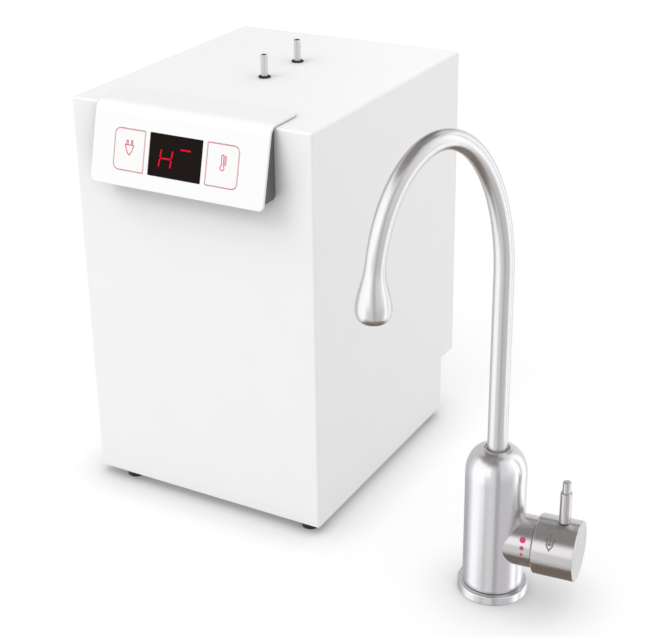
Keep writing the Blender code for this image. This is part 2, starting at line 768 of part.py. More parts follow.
def control_hood(heater):
    """A flat blank with its openings, folded over the cabinet's top front edge."""
    fold = math.pi / 2 - HOOD_TILT
    tangent = HOOD_BEND * math.tan(fold / 2)
    bend = HOOD_BEND * fold
    face = HOOD_FACE - tangent
    length = face + bend + HOOD_TOP - tangent
    half = HOOD_WIDTH / 2
    outline = rounded_outline(
        (HOOD_PLATE_SHIFT - half, -face), (HOOD_PLATE_SHIFT + half, length - face),
        (HOOD_LOW_CORNER, HOOD_LOW_CORNER, HOOD_REAR_CORNER, HOOD_REAR_CORNER),
    )
    holes = [
        [(x, y + tangent) for x, y in hole] for hole in group_outlines(CLEARANCE).values()
    ]
    made = prism(outline, -HOOD_THICKNESS, 0, holes)
    for step in range(HOOD_BEND_STEPS + 1):
        place_of_fold = (0, bend * step / HOOD_BEND_STEPS, 0)
        geometry = made.verts[:] + made.edges[:] + made.faces[:]
        bmesh.ops.bisect_plane(made, geom=geometry, dist=WELD, plane_co=place_of_fold, plane_no=(0, 1, 0))
    for vertex in made.verts:
        along = vertex.co.y
        if along <= 0:
            vertex.co.y = along - tangent
            continue
        angle = min(along / HOOD_BEND, fold)
        beyond = max(along - bend, 0)
        radius = HOOD_BEND + vertex.co.z
        across = radius * math.sin(angle) + beyond * math.cos(angle)
        depth = HOOD_BEND - radius * math.cos(angle) + beyond * math.sin(angle)
        vertex.co.y = across - tangent
        vertex.co.z = -depth
    bmesh.ops.remove_doubles(made, verts=made.verts, dist=WELD)
    place("control_hood", facing_out(made), "white_gloss", heater)


def window_and_keys(panel):
    """The smoked window is fixed; each key is a cap with a skirt behind the hood and a short stem."""
    outlines = group_outlines(0)
    skirts = group_outlines(SKIRT)
    seat = HOOD_THICKNESS + CLEARANCE
    back = seat + SKIRT_THICKNESS
    for name, outline in outlines.items():
        middle_x = (min(x for x, _ in outline) + max(x for x, _ in outline)) / 2
        middle_y = -GROUP_DROP - GROUP_HEIGHT / 2
        local = [(x - middle_x, y - middle_y) for x, y in outline]
        skirt = [(x - middle_x, y - middle_y) for x, y in skirts[name]]
        finish = "black_lens" if name == "display_window" else "white_gloss"
        cap = place(name, prism(local, -back, 0), finish, panel, (middle_x, middle_y, 0))
        join(cap, prism(skirt, -back, -seat))
        if name != "display_window":
            join(cap, rod(KEY_STEM_RADIUS, key_stem_end(), -seat))


def board_depth():
    """How far the control board's front lies behind the hood's outer face, just clear of the housing."""
    drop = GROUP_DROP - SKIRT
    room = (HOOD_OVERHANG - CLEARANCE - HOUSING_WALL + drop * math.sin(HOOD_TILT)) / math.cos(HOOD_TILT)
    return room - BOARD_GAP - BOARD_THICKNESS


def key_stem_end():
    """Depth of a key's stem, which stands the key's travel and a clearance off its switch."""
    return SWITCH_HEIGHT + KEY_TRAVEL + 2 * CLEARANCE - board_depth()


def control_electronics(panel):
    """The control board with its digit display and one switch under each key."""
    half = HOOD_WIDTH / 2 - HOUSING_INSET - HOUSING_WALL - BOARD_SIDE_MARGIN
    low = -GROUP_DROP - GROUP_HEIGHT - BOARD_OVER_GROUP
    high = -GROUP_DROP + SKIRT
    depth = board_depth()
    place(
        "control_board", block((-half, low, -depth - BOARD_THICKNESS), (half, high, -depth)),
        "green_board", panel,
    )
    board = -depth + CLEARANCE
    behind = -(HOOD_THICKNESS + SKIRT_THICKNESS + 2 * CLEARANCE)
    reach = WINDOW_WIDTH / 2 - DISPLAY_SIDE_MARGIN
    place(
        "digit_display",
        block(
            (-reach, DISPLAY_MARGIN - GROUP_DROP - GROUP_HEIGHT, board),
            (reach, -GROUP_DROP - DISPLAY_MARGIN, behind),
        ),
        "dark_plastic", panel,
    )
    from_middle = (WINDOW_WIDTH + KEY_WIDTH) / 2 + KEY_SPACE
    rest = board + SWITCH_HEIGHT
    for name, side in (("eco_switch", -1), ("keep_warm_switch", 1)):
        centre = (side * from_middle, -GROUP_DROP - GROUP_HEIGHT / 2, 0)
        arm = SWITCH_SIDE / 2
        switch = place(
            name, block((-arm, -arm, board), (arm, arm, board + SWITCH_BODY)), "dark_plastic", panel, centre
        )
        join(switch, rod(SWITCH_BUTTON_RADIUS, board + SWITCH_BODY / 2, rest))


def face_back(height, depth):
    """y of the plane that lies depth behind the hood's sloping outer face, at this height."""
    corner_y, corner_z = hood_corner()
    return corner_y - (corner_z - height) * math.tan(HOOD_TILT) + depth / math.cos(HOOD_TILT)


def control_housing(heater):
    """The dark wedge between the hood and the cabinet: a box that the hood's face closes."""
    rear = FRONT - CLEARANCE
    corner_y, corner_z = hood_corner()
    top = CASE_TOP - HOUSING_DROP
    bottom = corner_z - HOOD_FACE * math.cos(HOOD_TILT) + HOUSING_RISE
    seat = HOOD_THICKNESS + CLEARANCE
    wall = HOUSING_WALL

    def outline(inset, front_depth, radius):
        low, high = bottom + inset, top - inset
        back = rear - inset
        centre = (back - radius, low + radius)
        points = [(face_back(high, front_depth), high), (face_back(low, front_depth), low)]
        points += arc(centre, radius, -math.pi / 2, 0, CORNER_STEPS)
        return points + [(back, high)]

    half = HOOD_WIDTH / 2 - HOUSING_INSET
    box = channel(outline(0, seat, HOUSING_CORNER), half)
    hollow = channel(outline(wall, seat - OVERRUN, HOUSING_CORNER - wall), half - wall)
    for made in (box, hollow):
        bmesh.ops.translate(made, vec=(HOOD_PLATE_SHIFT, 0, 0), verts=made.verts)
    housing = place("control_housing", box, "dark_plastic", heater)
    cut(housing, hollow)
    cut(
        housing,
        turned_along_y(rod(CABLE_HOLE_RADIUS, -wall - OVERRUN, OVERRUN)),
        (0, rear, cable_hole_height()),
    )
    board_half = half - wall - BOARD_SIDE_MARGIN
    low = -GROUP_DROP - GROUP_HEIGHT - BOARD_OVER_GROUP + BOSS_FROM_EDGE
    high = -GROUP_DROP + SKIRT - BOSS_FROM_EDGE
    board_back = board_depth() + BOARD_THICKNESS + CLEARANCE
    for side in (-1, 1):
        for up in (low, high):
            at_y = corner_y + up * math.sin(HOOD_TILT)
            wall_depth = (rear - wall / 2 - at_y) / math.cos(HOOD_TILT)
            x = side * (board_half - BOSS_FROM_SIDE)
            centre = Matrix.Translation((x, corner_y, corner_z)) @ Matrix.Rotation(
                math.pi / 2 - HOOD_TILT, 4, "X"
            ) @ Matrix.Translation((0, up, 0))
            boss = rod(BOSS_RADIUS, -wall_depth, -board_back, PIPE_SIDES)
            bmesh.ops.transform(boss, matrix=centre, verts=boss.verts)
            join(housing, boss)


def stub_grommets(heater):
    """Rubber grommets in the cabinet's top, one round each stub."""
    bore = STUB_RADIUS + CLEARANCE
    neck = GROMMET_RADIUS - GROMMET_NECK
    above, below = CLEARANCE, -SHEET - CLEARANCE
    profile = [
        (bore, below - GROMMET_INNER), (GROMMET_RADIUS, below - GROMMET_INNER), (GROMMET_RADIUS, below),
        (neck, below), (neck, above), (GROMMET_RADIUS, above), (GROMMET_RADIUS, GROMMET_RISE - CLEARANCE),
        (GROMMET_RADIUS - CLEARANCE, GROMMET_RISE), (bore, GROMMET_RISE),
    ]
    for name, y in (("stub_grommet_front", STUB_FRONT_Y), ("stub_grommet_rear", STUB_REAR_Y)):
        place(name, turned(profile, SMALL_STEPS), "black_rubber", heater, (STUB_X, y, CASE_TOP))


def tank_port_places():
    """Holes in the tank's bottom, from the tank's axis: x, y and radius."""
    leg = ELEMENT_RADIUS + CLEARANCE
    return [
        (-ELEMENT_LEG_X, -ELEMENT_LEG_Y, leg), (ELEMENT_LEG_X, -ELEMENT_LEG_Y, leg),
        (FEED_X, FEED_Y, STUB_RADIUS + CLEARANCE), (DRAIN_X, DRAIN_Y, DRAIN_RADIUS + CLEARANCE),
    ]


def lid_plateau():
    """Radius of the lid's raised middle."""
    return TANK_RADIUS + TANK_FLANGE - LID_SHOULDER - LID_RISE


def tank(axis):
    """A deep-drawn pot with a rim, its lid and the seal between them, and the foam round it."""
    inner = TANK_RADIUS - TANK_WALL
    rim = TANK_RADIUS + TANK_FLANGE
    quarter = math.pi / 2
    low = TANK_BASE + TANK_CORNER
    outside = arc((TANK_RADIUS - TANK_CORNER, low), TANK_CORNER, -quarter, 0, 3)
    inside = arc((TANK_RADIUS - TANK_CORNER, low), TANK_CORNER - TANK_WALL, 0, -quarter, 3)
    profile = [(0, TANK_BASE)] + outside + [
        (TANK_RADIUS, TANK_TOP - TANK_FLANGE_THICKNESS), (rim, TANK_TOP - TANK_FLANGE_THICKNESS),
        (rim, TANK_TOP), (inner, TANK_TOP),
    ] + inside + [(0, TANK_BASE + TANK_WALL)]
    shell = place("tank_shell", turned(profile), "stainless", axis)
    for x, y, radius in tank_port_places():
        cut(shell, rod(radius, TANK_BASE - OVERRUN, TANK_BASE + TANK_WALL + OVERRUN, PIPE_SIDES), (x, y, 0))

    seal = TANK_TOP + CLEARANCE
    ring = [(inner, seal), (rim, seal), (rim, seal + SEAL_THICKNESS), (inner, seal + SEAL_THICKNESS)]
    place("lid_seal", turned(ring), "black_rubber", axis)

    flat = rim - LID_SHOULDER
    plateau = lid_plateau()
    under = LID_BASE + LID_RISE
    cover = [
        (0, under), (plateau, under), (flat, LID_BASE), (rim, LID_BASE), (rim, LID_BASE + LID_THICKNESS),
        (flat, LID_BASE + LID_THICKNESS), (plateau, LID_TOP), (0, LID_TOP),
    ]
    lid = place("tank_lid", turned(cover), "stainless", axis)
    probe_x, probe_y = (share * plateau for share in PROBE_PLACE_SHARES)
    holes = (
        (STUB_X - TANK_X, STUB_FRONT_Y - TANK_Y, STUB_RADIUS), (probe_x, probe_y, PROBE_RADIUS),
    )
    for x, y, radius in holes:
        cut(lid, rod(radius + CLEARANCE, under - OVERRUN, LID_TOP + OVERRUN, PIPE_SIDES), (x, y, 0))

    skin = TANK_RADIUS + CLEARANCE
    top = TANK_TOP - TANK_FLANGE_THICKNESS - CLEARANCE
    jacket = [
        (skin, TANK_BASE), (skin + JACKET_THICKNESS, TANK_BASE), (skin + JACKET_THICKNESS, top), (skin, top),
    ]
    place("insulation_jacket", turned(jacket), "foam", axis)


def tank_stand(axis):
    """A flat ring on four folded legs."""
    top = TANK_BASE - CLEARANCE
    outer = TANK_RADIUS + JACKET_THICKNESS
    plate = top - STAND_SHEET
    ring = [(STAND_BORE, plate), (outer, plate), (outer, top), (STAND_BORE, top)]
    stand = place("tank_stand", turned(ring), "galvanised", axis)
    foot = TRAY_FLOOR + CLEARANCE
    out = outer - STAND_LEG_FROM_RIM
    profile = [
        (out - STAND_SHEET, plate + STAND_SHEET / 2), (out - STAND_SHEET, foot + STAND_SHEET),
        (out - STAND_LEG_FOOT, foot + STAND_SHEET), (out - STAND_LEG_FOOT, foot), (out, foot),
        (out, plate + STAND_SHEET / 2),
    ]
    for index in range(STAND_LEGS):
        angle = 2 * math.pi * index / STAND_LEGS
        join(stand, channel(profile, STAND_LEG_WIDTH / 2), (0, 0, 0), (0, 0, angle))


def heating_element(axis):
    """A sheathed loop above the tank's bottom, with two legs, their hex nuts and ceramic ends."""
    reach = TANK_RADIUS - TANK_WALL - ELEMENT_RADIUS - ELEMENT_FROM_WALL
    start = math.atan2(-math.sqrt(reach**2 - ELEMENT_LEG_X**2), -ELEMENT_LEG_X)
    sweep = -2 * math.pi + 2 * (-math.pi / 2 - start)
    lift = TANK_BASE + TANK_WALL + ELEMENT_LIFT
    loop = []
    for step in range(ELEMENT_LOOP_STEPS + 1):
        angle = start + sweep * step / ELEMENT_LOOP_STEPS
        loop.append(Vector((reach * math.cos(angle), reach * math.sin(angle), lift)))
    below = TANK_BASE - ELEMENT_BELOW

    def leg(side, end):
        foot = Vector((side * ELEMENT_LEG_X, -ELEMENT_LEG_Y, below))
        knee = Vector((side * ELEMENT_LEG_X, -ELEMENT_LEG_Y, lift))
        return bent_route([foot, knee, end], ELEMENT_BEND, ELEMENT_BEND_STEPS)[:-1]

    route = leg(-1, loop[0]) + loop + list(reversed(leg(1, loop[-1])))
    radii = [ELEMENT_RADIUS] * len(route)
    element = place("heating_element", swept(route, radii, ELEMENT_SIDES), "stainless", axis)
    nut_top = TANK_BASE - CLEARANCE
    floor = TANK_BASE + TANK_WALL + CLEARANCE
    for side in (-1, 1):
        at = (side * ELEMENT_LEG_X, -ELEMENT_LEG_Y, 0)
        join(element, rod(ELEMENT_NUT, nut_top - ELEMENT_NUT_HEIGHT, nut_top, HEX_SIDES), at)
        join(element, rod(ELEMENT_NUT, floor, floor + TANK_WALL, HEX_SIDES), at)


def lid_fittings(axis):
    """The overheat cut-out and the temperature probe on the tank's lid."""
    seat = LID_TOP + CLEARANCE
    disc = [
        (0, seat), (CUTOUT_FLANGE, seat), (CUTOUT_FLANGE, seat + CUTOUT_FLANGE_THICKNESS),
        (CUTOUT_RADIUS, seat + CUTOUT_FLANGE_THICKNESS), (CUTOUT_RADIUS, seat + CUTOUT_HEIGHT),
        (0, seat + CUTOUT_HEIGHT),
    ]
    x, y = (share * lid_plateau() for share in CUTOUT_PLACE_SHARES)
    cutout = place("overheat_cutout", turned(disc, SMALL_STEPS), "dark_plastic", axis, (x, y, 0))
    for side in (-1, 1):
        middle = side * BLADE_SPREAD
        low = (middle - BLADE_THICKNESS / 2, -BLADE_WIDTH / 2, seat + CUTOUT_HEIGHT / 2)
        high = (middle + BLADE_THICKNESS / 2, BLADE_WIDTH / 2, seat + CUTOUT_HEIGHT + BLADE_LENGTH)
        join(cutout, block(low, high))
    head = seat + PROBE_HEAD_HEIGHT
    pin = [
        (0, LID_TOP - PROBE_LENGTH), (PROBE_RADIUS, LID_TOP - PROBE_LENGTH + PROBE_RADIUS),
        (PROBE_RADIUS, seat + WELD + PROBE_RADIUS), (PROBE_TAIL, seat + PROBE_RADIUS + CLEARANCE),
        (PROBE_TAIL, head + PROBE_TAIL_HEIGHT), (0, head + PROBE_TAIL_HEIGHT),
    ]
    x, y = (share * lid_plateau() for share in PROBE_PLACE_SHARES)
    probe = place("temperature_probe", turned(pin, PIPE_SIDES), "stainless", axis, (x, y, 0))
    join(probe, rod(PROBE_HEAD, seat, head, HEX_SIDES))


def chassis(heater):
    """The plate between the tank and the wet and electric parts, with a foot and four standoffs."""
    foot, top = CHASSIS_BASE, CHASSIS_TOP
    profile = [
        (CHASSIS_Y, foot), (CHASSIS_Y + CHASSIS_FOOT, foot), (CHASSIS_Y + CHASSIS_FOOT, foot + SHEET),
        (CHASSIS_BACK, foot + SHEET), (CHASSIS_BACK, top), (CHASSIS_Y, top),
    ]
    plate = place("chassis_plate", channel(profile, CHASSIS_HALF), "galvanised", heater)
    for x in (VALVE_X, TANK_X + DRAIN_X):
        cut(plate, block(
            (x - PIPE_SLOT, CHASSIS_Y - OVERRUN, foot + SHEET + CLEARANCE),
            (x + PIPE_SLOT, CHASSIS_BACK + OVERRUN, PIPE_SLOT_HEIGHT),
        ))
    across = POWER_BOARD_WIDTH / 2 - STANDOFF_INSET
    up = POWER_BOARD_HEIGHT / 2 - STANDOFF_INSET
    for side_x in (-1, 1):
        for side_z in (-1, 1):
            post = turned_along_y(rod(STANDOFF_RADIUS, -SHEET / 2, STANDOFF, PIPE_SIDES))
            join(plate, post, (POWER_BOARD_X + side_x * across, CHASSIS_BACK, POWER_BOARD_Z + side_z * up))


def power_board(heater):
    """The relay board on the standoffs, with its three large components."""
    front = CHASSIS_BACK + STANDOFF + CLEARANCE
    back = front + POWER_BOARD_THICKNESS
    half_x, half_z = POWER_BOARD_WIDTH / 2, POWER_BOARD_HEIGHT / 2
    place(
        "power_board",
        block(
            (POWER_BOARD_X - half_x, front, POWER_BOARD_Z - half_z),
            (POWER_BOARD_X + half_x, back, POWER_BOARD_Z + half_z),
        ),
        "green_board", heater,
    )
    seat = back + CLEARANCE
    left = POWER_BOARD_X - half_x + COMPONENT_INSET
    high, low = POWER_BOARD_Z + half_z - COMPONENT_INSET, POWER_BOARD_Z - half_z + COMPONENT_INSET
    wide, deep, tall = TRANSFORMER_SIZE
    place(
        "transformer", block((left, seat, high - tall), (left + wide, seat + deep, high), COMPONENT_EDGE),
        "coil_blue", heater,
    )
    wide, deep, tall = RELAY_SIZE
    relay = left + TRANSFORMER_SIZE[0] + COMPONENT_SPACE_X
    case = block((relay, seat, high - tall), (relay + wide, seat + deep, high), COMPONENT_EDGE, 1)
    place("heater_relay", case, "dark_plastic", heater)
    wide, deep, tall = TERMINAL_SIZE
    place(
        "terminal_block", block((left, seat, low), (left + wide, seat + deep, low + tall), COMPONENT_EDGE, 1),
        "white_plastic", heater,
    )


def fill_valve(heater):
    """The solenoid valve on the chassis plate: a brass body between two sockets, and its coil."""
    top, bottom = VALVE_HALF, -VALVE_HALF
    body = place(
        "fill_valve_body", rod(VALVE_RADIUS, bottom, top), "brass", heater, (VALVE_X, VALVE_Y, VALVE_Z)
    )
    join(body, rod(VALVE_END, top - VALVE_END_HEIGHT, top, HEX_SIDES))
    join(body, rod(VALVE_END, bottom, bottom + VALVE_END_HEIGHT, HEX_SIDES))
    boss = VALVE_Y - CHASSIS_BACK - CLEARANCE
    join(body, turned_along_y(rod(VALVE_BOSS, -boss, 0)))
    join(body, turned_along_y(rod(VALVE_BOSS, 0, VALVE_RADIUS + CLEARANCE)))
    socket = STUB_RADIUS + CLEARANCE
    cut(body, rod(socket, top - SOCKET_DEPTH, top + OVERRUN, PIPE_SIDES))
    cut(body, rod(socket, bottom - OVERRUN, bottom + SOCKET_DEPTH, PIPE_SIDES))
    near = VALVE_RADIUS + 2 * CLEARANCE
    profile = [
        (0, near), (COIL_RADIUS - COIL_EDGE, near), (COIL_RADIUS, near + COIL_EDGE),
        (COIL_RADIUS, near + COIL_LENGTH - COIL_EDGE), (COIL_RADIUS - COIL_EDGE, near + COIL_LENGTH),
        (0, near + COIL_LENGTH),
    ]
    place(
        "fill_valve_coil", turned_along_y(turned(profile, SMALL_STEPS)), "coil_blue", heater,
        (VALVE_X, VALVE_Y, VALVE_Z),
    )


def pipes(heater):
    """Outlet and inlet pipes that end as the stubs on top, and the feed and drain under the tank."""
    stub_top = CASE_TOP + STUB_RISE
    seat = LID_TOP + CLEARANCE
    under = LID_BASE + LID_RISE - PIPE_DIP
    profile = [
        (STUB_BORE, under), (STUB_RADIUS, under), (STUB_RADIUS, seat), (PIPE_NUT, seat),
        (PIPE_NUT, seat + PIPE_NUT_HEIGHT), (STUB_RADIUS, seat + PIPE_NUT_HEIGHT),
        (STUB_RADIUS, stub_top), (STUB_BORE, stub_top),
    ]
    place("hot_outlet_pipe", turned(profile, SMALL_STEPS), "stainless", heater, (STUB_X, STUB_FRONT_Y, 0))

    socket_top = VALVE_Z + VALVE_HALF - SOCKET_DEPTH + CLEARANCE
    turn = CASE_TOP - INLET_TURN_DROP
    route = bent_route([
        (STUB_X, STUB_REAR_Y, stub_top), (STUB_X, STUB_REAR_Y, turn),
        (VALVE_X, VALVE_Y, turn - INLET_TURN_DROP), (VALVE_X, VALVE_Y, socket_top),
    ], 2 * PIPE_BEND)
    tube(route, "cold_inlet_pipe", STUB_RADIUS, STUB_BORE, heater)

    socket_low = VALVE_Z - VALVE_HALF + SOCKET_DEPTH - CLEARANCE
    feed_x, feed_y = TANK_X + FEED_X, TANK_Y + FEED_Y
    inside = TANK_BASE + TANK_WALL + PIPE_DIP
    route = bent_route([
        (VALVE_X, VALVE_Y, socket_low), (VALVE_X, VALVE_Y, PIPE_RUN_Z),
        (VALVE_X, CHASSIS_Y - PIPE_BEND, PIPE_RUN_Z), (feed_x, feed_y, PIPE_RUN_Z),
        (feed_x, feed_y, inside),
    ], PIPE_BEND)
    feed = tube(route, "tank_feed_pipe", STUB_RADIUS, STUB_BORE, heater)
    nut_top = TANK_BASE - CLEARANCE
    nut = turned([
        (STUB_RADIUS - CLEARANCE, nut_top - PIPE_NUT_HEIGHT), (PIPE_NUT, nut_top - PIPE_NUT_HEIGHT),
        (PIPE_NUT, nut_top), (STUB_RADIUS - CLEARANCE, nut_top),
    ], HEX_SIDES * 2)
    join(feed, nut, (feed_x, feed_y, 0))

    out = RECESS + DRAIN_OUT
    drain_x, drain_y = TANK_X + DRAIN_X, TANK_Y + DRAIN_Y
    route = bent_route([
        (drain_x, drain_y, inside), (drain_x, drain_y, DRAIN_Z), (drain_x, out, DRAIN_Z),
    ], PIPE_BEND)
    drain = tube(route, "drain_pipe", DRAIN_RADIUS, DRAIN_BORE, heater)
    collar = turned([
        (DRAIN_RADIUS - CLEARANCE, 0), (DRAIN_COLLAR, 0), (DRAIN_COLLAR, DRAIN_COLLAR_LENGTH),
        (DRAIN_RADIUS - CLEARANCE, DRAIN_COLLAR_LENGTH),
    ], HEX_SIDES * 2)
    back = RECESS - SHEET - CLEARANCE - DRAIN_COLLAR_LENGTH
    join(drain, turned_along_y(collar), (drain_x, back, DRAIN_Z))

    bore = DRAIN_RADIUS + CLEARANCE
    mouth = out - DRAIN_CAP_LENGTH + DRAIN_CAP_FLOOR + CLEARANCE
    cap = turned([
        (0, DRAIN_CAP_LENGTH), (0, DRAIN_CAP_LENGTH - DRAIN_CAP_FLOOR),
        (bore, DRAIN_CAP_LENGTH - DRAIN_CAP_FLOOR), (bore, 0), (DRAIN_CAP_RADIUS, 0),
        (DRAIN_CAP_RADIUS, DRAIN_CAP_LENGTH - FOOT_EDGE), (DRAIN_CAP_RADIUS - FOOT_EDGE, DRAIN_CAP_LENGTH),
    ], SMALL_STEPS)
    place("drain_cap", turned_along_y(cap), "black_rubber", heater, (drain_x, mouth, DRAIN_Z))


def tube(route, name, radius, bore, parent):
    """A pipe of one outer and one inner radius along a route."""
    count = len(route)
    return place(name, swept(route, [radius] * count, PIPE_SIDES, [bore] * count), "stainless", parent)


def cord_gland(heater):
    """The gland that the mains cord enters by, snapped into the recess panel."""
    outer = CLEARANCE
    inner = -SHEET - CLEARANCE
    profile = [
        (GLAND_BORE, inner - GLAND_INSIDE), (GLAND_NECK, inner - GLAND_INSIDE),
        (GLAND_NECK + FOOT_EDGE, inner), (GLAND_NECK, inner), (GLAND_NECK, outer),
        (GLAND_FLANGE, outer), (GLAND_FLANGE, outer + GLAND_FLANGE_THICKNESS - FOOT_EDGE),
        (GLAND_FLANGE - FOOT_EDGE, outer + GLAND_FLANGE_THICKNESS),
        (GLAND_NOSE_RADIUS, outer + GLAND_FLANGE_THICKNESS), (GLAND_NOSE_RADIUS, outer + GLAND_NOSE),
        (GLAND_BORE, outer + GLAND_NOSE),
    ]
    place(
        "cord_gland", turned_along_y(turned(profile, SMALL_STEPS)), "black_rubber", heater,
        (GLAND_X, RECESS, GLAND_Z),
    )


def base_flange(faucet):
    """The round foot of the faucet, with a spigot that centres the body."""
    spigot = FLANGE_HOLE + FLANGE_SPIGOT_WALL
    top = FLANGE_HEIGHT
    profile = [
        (FLANGE_HOLE, 0), (FLANGE_RADIUS - FLANGE_EDGE, 0), (FLANGE_RADIUS, FLANGE_EDGE),
        (FLANGE_RADIUS, top - FLANGE_EDGE), (FLANGE_RADIUS - FLANGE_EDGE, top), (spigot, top),
        (spigot, top + FLANGE_SPIGOT_RISE), (FLANGE_HOLE, top + FLANGE_SPIGOT_RISE),
    ]
    place("base_flange", turned(profile, BODY_STEPS), "brushed_steel", faucet)


def faucet_body(faucet):
    """A domed cylinder with a side collar for the valve, bored for the spout and the cartridge."""
    bottom = FLANGE_HEIGHT + CLEARANCE
    mouth = SPOUT_FOOT_RADIUS + BUSH_WALL + 2 * CLEARANCE
    dome = arc(
        (mouth, BODY_SHOULDER), (BODY_RADIUS - mouth, BODY_TOP - BODY_SHOULDER),
        0, math.pi / 2, DOME_STEPS,
    )
    bush_floor = BODY_TOP - BUSH_DEPTH
    bore = SPOUT_FOOT_RADIUS + CLEARANCE
    bore_floor = BODY_TOP - SPIGOT_DEPTH - CLEARANCE
    well = FLANGE_HOLE + FLANGE_SPIGOT_WALL + CLEARANCE
    well_top = bottom + BODY_WELL
    profile = [(0, well_top), (well, well_top), (well, bottom), (BODY_RADIUS, bottom)] + dome + [
        (mouth, bush_floor), (bore, bush_floor), (bore, bore_floor), (0, bore_floor),
    ]
    body = place("faucet_body", turned(profile, BODY_STEPS), "brushed_steel", faucet)
    collar = [
        (0, 0), (COLLAR_RADIUS, 0), (COLLAR_RADIUS, COLLAR_END - COLLAR_EDGE),
        (COLLAR_RADIUS - COLLAR_EDGE, COLLAR_END), (0, COLLAR_END),
    ]
    join(body, turned_along_x(turned(collar, BODY_STEPS)), (0, 0, KNOB_Z))
    pocket = turned_along_x(rod(POCKET_RADIUS, POCKET_FLOOR, COLLAR_END + OVERRUN, ROUND_STEPS))
    cut(body, pocket, (0, 0, KNOB_Z))
    across = turned_along_x(rod(DRILLING, -DRILLING, POCKET_FLOOR + OVERRUN, PIPE_SIDES))
    cut(body, across, (0, 0, KNOB_Z + DRILLING_OFFSET))
    cut(body, rod(DRILLING, KNOB_Z + DRILLING_OFFSET, bore_floor + OVERRUN, PIPE_SIDES))
    low = turned_along_x(rod(DRILLING, -DRILLING, POCKET_FLOOR + OVERRUN, PIPE_SIDES))
    cut(body, low, (0, 0, KNOB_Z - DRILLING_OFFSET))
    cut(body, rod(DRILLING, well_top - OVERRUN, KNOB_Z - DRILLING_OFFSET, PIPE_SIDES))


def valve(faucet):
    """The ceramic cartridge in the collar's pocket and the nut that holds it."""
    radius = POCKET_RADIUS - CLEARANCE
    start = POCKET_FLOOR + CLEARANCE
    end = start + CARTRIDGE_LENGTH
    hole = SPINDLE_RADIUS + CLEARANCE
    neck_end = end + CARTRIDGE_NECK_LENGTH
    profile = [
        (0, start), (radius, start), (radius, end - CARTRIDGE_STEP), (radius - CARTRIDGE_STEP, end),
        (CARTRIDGE_NECK, end), (CARTRIDGE_NECK, neck_end), (hole, neck_end),
        (hole, neck_end - SPINDLE_SEAT), (0, neck_end - SPINDLE_SEAT),
    ]
    place(
        "valve_cartridge", turned_along_x(turned(profile)), "white_plastic", faucet, (0, 0, KNOB_Z)
    )
    near = end + CLEARANCE
    inner = CARTRIDGE_NECK + CLEARANCE
    nut = [(inner, near), (radius, near), (radius, near + NUT_LENGTH), (inner, near + NUT_LENGTH)]
    place("cartridge_nut", turned_along_x(turned(nut)), "brass", faucet, (0, 0, KNOB_Z))
    return neck_end - SPINDLE_SEAT + CLEARANCE


def knob(valve_axis, spindle_start):
    """The hollow knob with its hub, the spindle that it turns, and the lever pin screwed into it."""
    start = COLLAR_END + KNOB_GAP
    end = start + KNOB_LENGTH
    floor = end - KNOB_FACE
    socket = SPINDLE_RADIUS + CLEARANCE
    hub = floor - HUB_LENGTH
    spindle_end = hub + SPINDLE_GRIP
    cavity = KNOB_RADIUS - KNOB_WALL
    profile = [
        (0, end), (0, spindle_end + CLEARANCE), (socket, spindle_end + CLEARANCE), (socket, hub),
        (HUB_RADIUS, hub), (HUB_RADIUS, floor), (cavity, floor), (cavity, start),
        (KNOB_RADIUS - KNOB_EDGE, start), (KNOB_RADIUS, start + KNOB_EDGE),
        (KNOB_RADIUS, end - KNOB_FACE_EDGE), (KNOB_RADIUS - KNOB_FACE_EDGE, end),
    ]
    body = place("valve_knob", turned_along_x(turned(profile, BODY_STEPS)), "brushed_steel", valve_axis)
    pin_x = start + LEVER_PLACE_SHARE * KNOB_LENGTH
    hole = rod(LEVER_SPIGOT + CLEARANCE, cavity - OVERRUN, KNOB_RADIUS + OVERRUN, PIPE_SIDES)
    cut(body, hole, (pin_x, 0, 0))
    shaft = [
        (0, spindle_start), (SPINDLE_RADIUS, spindle_start), (SPINDLE_RADIUS, spindle_end), (0, spindle_end),
    ]
    place("cartridge_spindle", turned_along_x(turned(shaft, SMALL_STEPS)), "brass", valve_axis)
    seat = KNOB_RADIUS + CLEARANCE
    shoulder = seat + LEVER_LENGTH
    tip = shoulder + LEVER_TIP_LENGTH
    pin = [
        (0, seat - LEVER_SPIGOT_LENGTH), (LEVER_SPIGOT, seat - LEVER_SPIGOT_LENGTH), (LEVER_SPIGOT, seat),
        (LEVER_RADIUS, seat), (LEVER_RADIUS, shoulder - LEVER_EDGE), (LEVER_RADIUS - LEVER_EDGE, shoulder),
        (LEVER_TIP_RADIUS, shoulder), (LEVER_TIP_RADIUS, tip - LEVER_EDGE),
        (LEVER_TIP_RADIUS - LEVER_EDGE, tip), (0, tip),
    ]
    place("lever_pin", turned(pin, SMALL_STEPS), "brushed_steel", valve_axis, (pin_x, 0, 0))


def spout_route():
    """Points of the spout's centre line in its own plane, from its lower end to the outlet."""
    foot = BODY_TOP - SPIGOT_DEPTH
    route = [Vector((0, 0, foot)), Vector((0, 0, BODY_TOP)), Vector((0, 0, (BODY_TOP + ARCH_BASE) / 2))]
    crown = ARCH_BASE + ARCH_RISE
    for step in range(ARCH_STEPS + 1):
        angle = math.pi * step / ARCH_STEPS
        sag = (ARCH_RISE if 2 * step <= ARCH_STEPS else ARCH_FALL) * (1 - math.sin(angle))
        route.append(Vector((ARCH_HALF * (1 - math.cos(angle)), 0, crown - sag)))
    last = route[-1]
    bulb = OUTLET_DROP - BULB_HEIGHT
    low = [bulb * step / FLARE_STEPS for step in range(1, FLARE_STEPS + 1)]
    for step in range(1, BULB_STEPS + 1):
        low.append(bulb + BULB_HEIGHT * math.sin(math.pi / 2 * step / BULB_STEPS))
    return route + [last - Vector((0, 0, fall)) for fall in low]


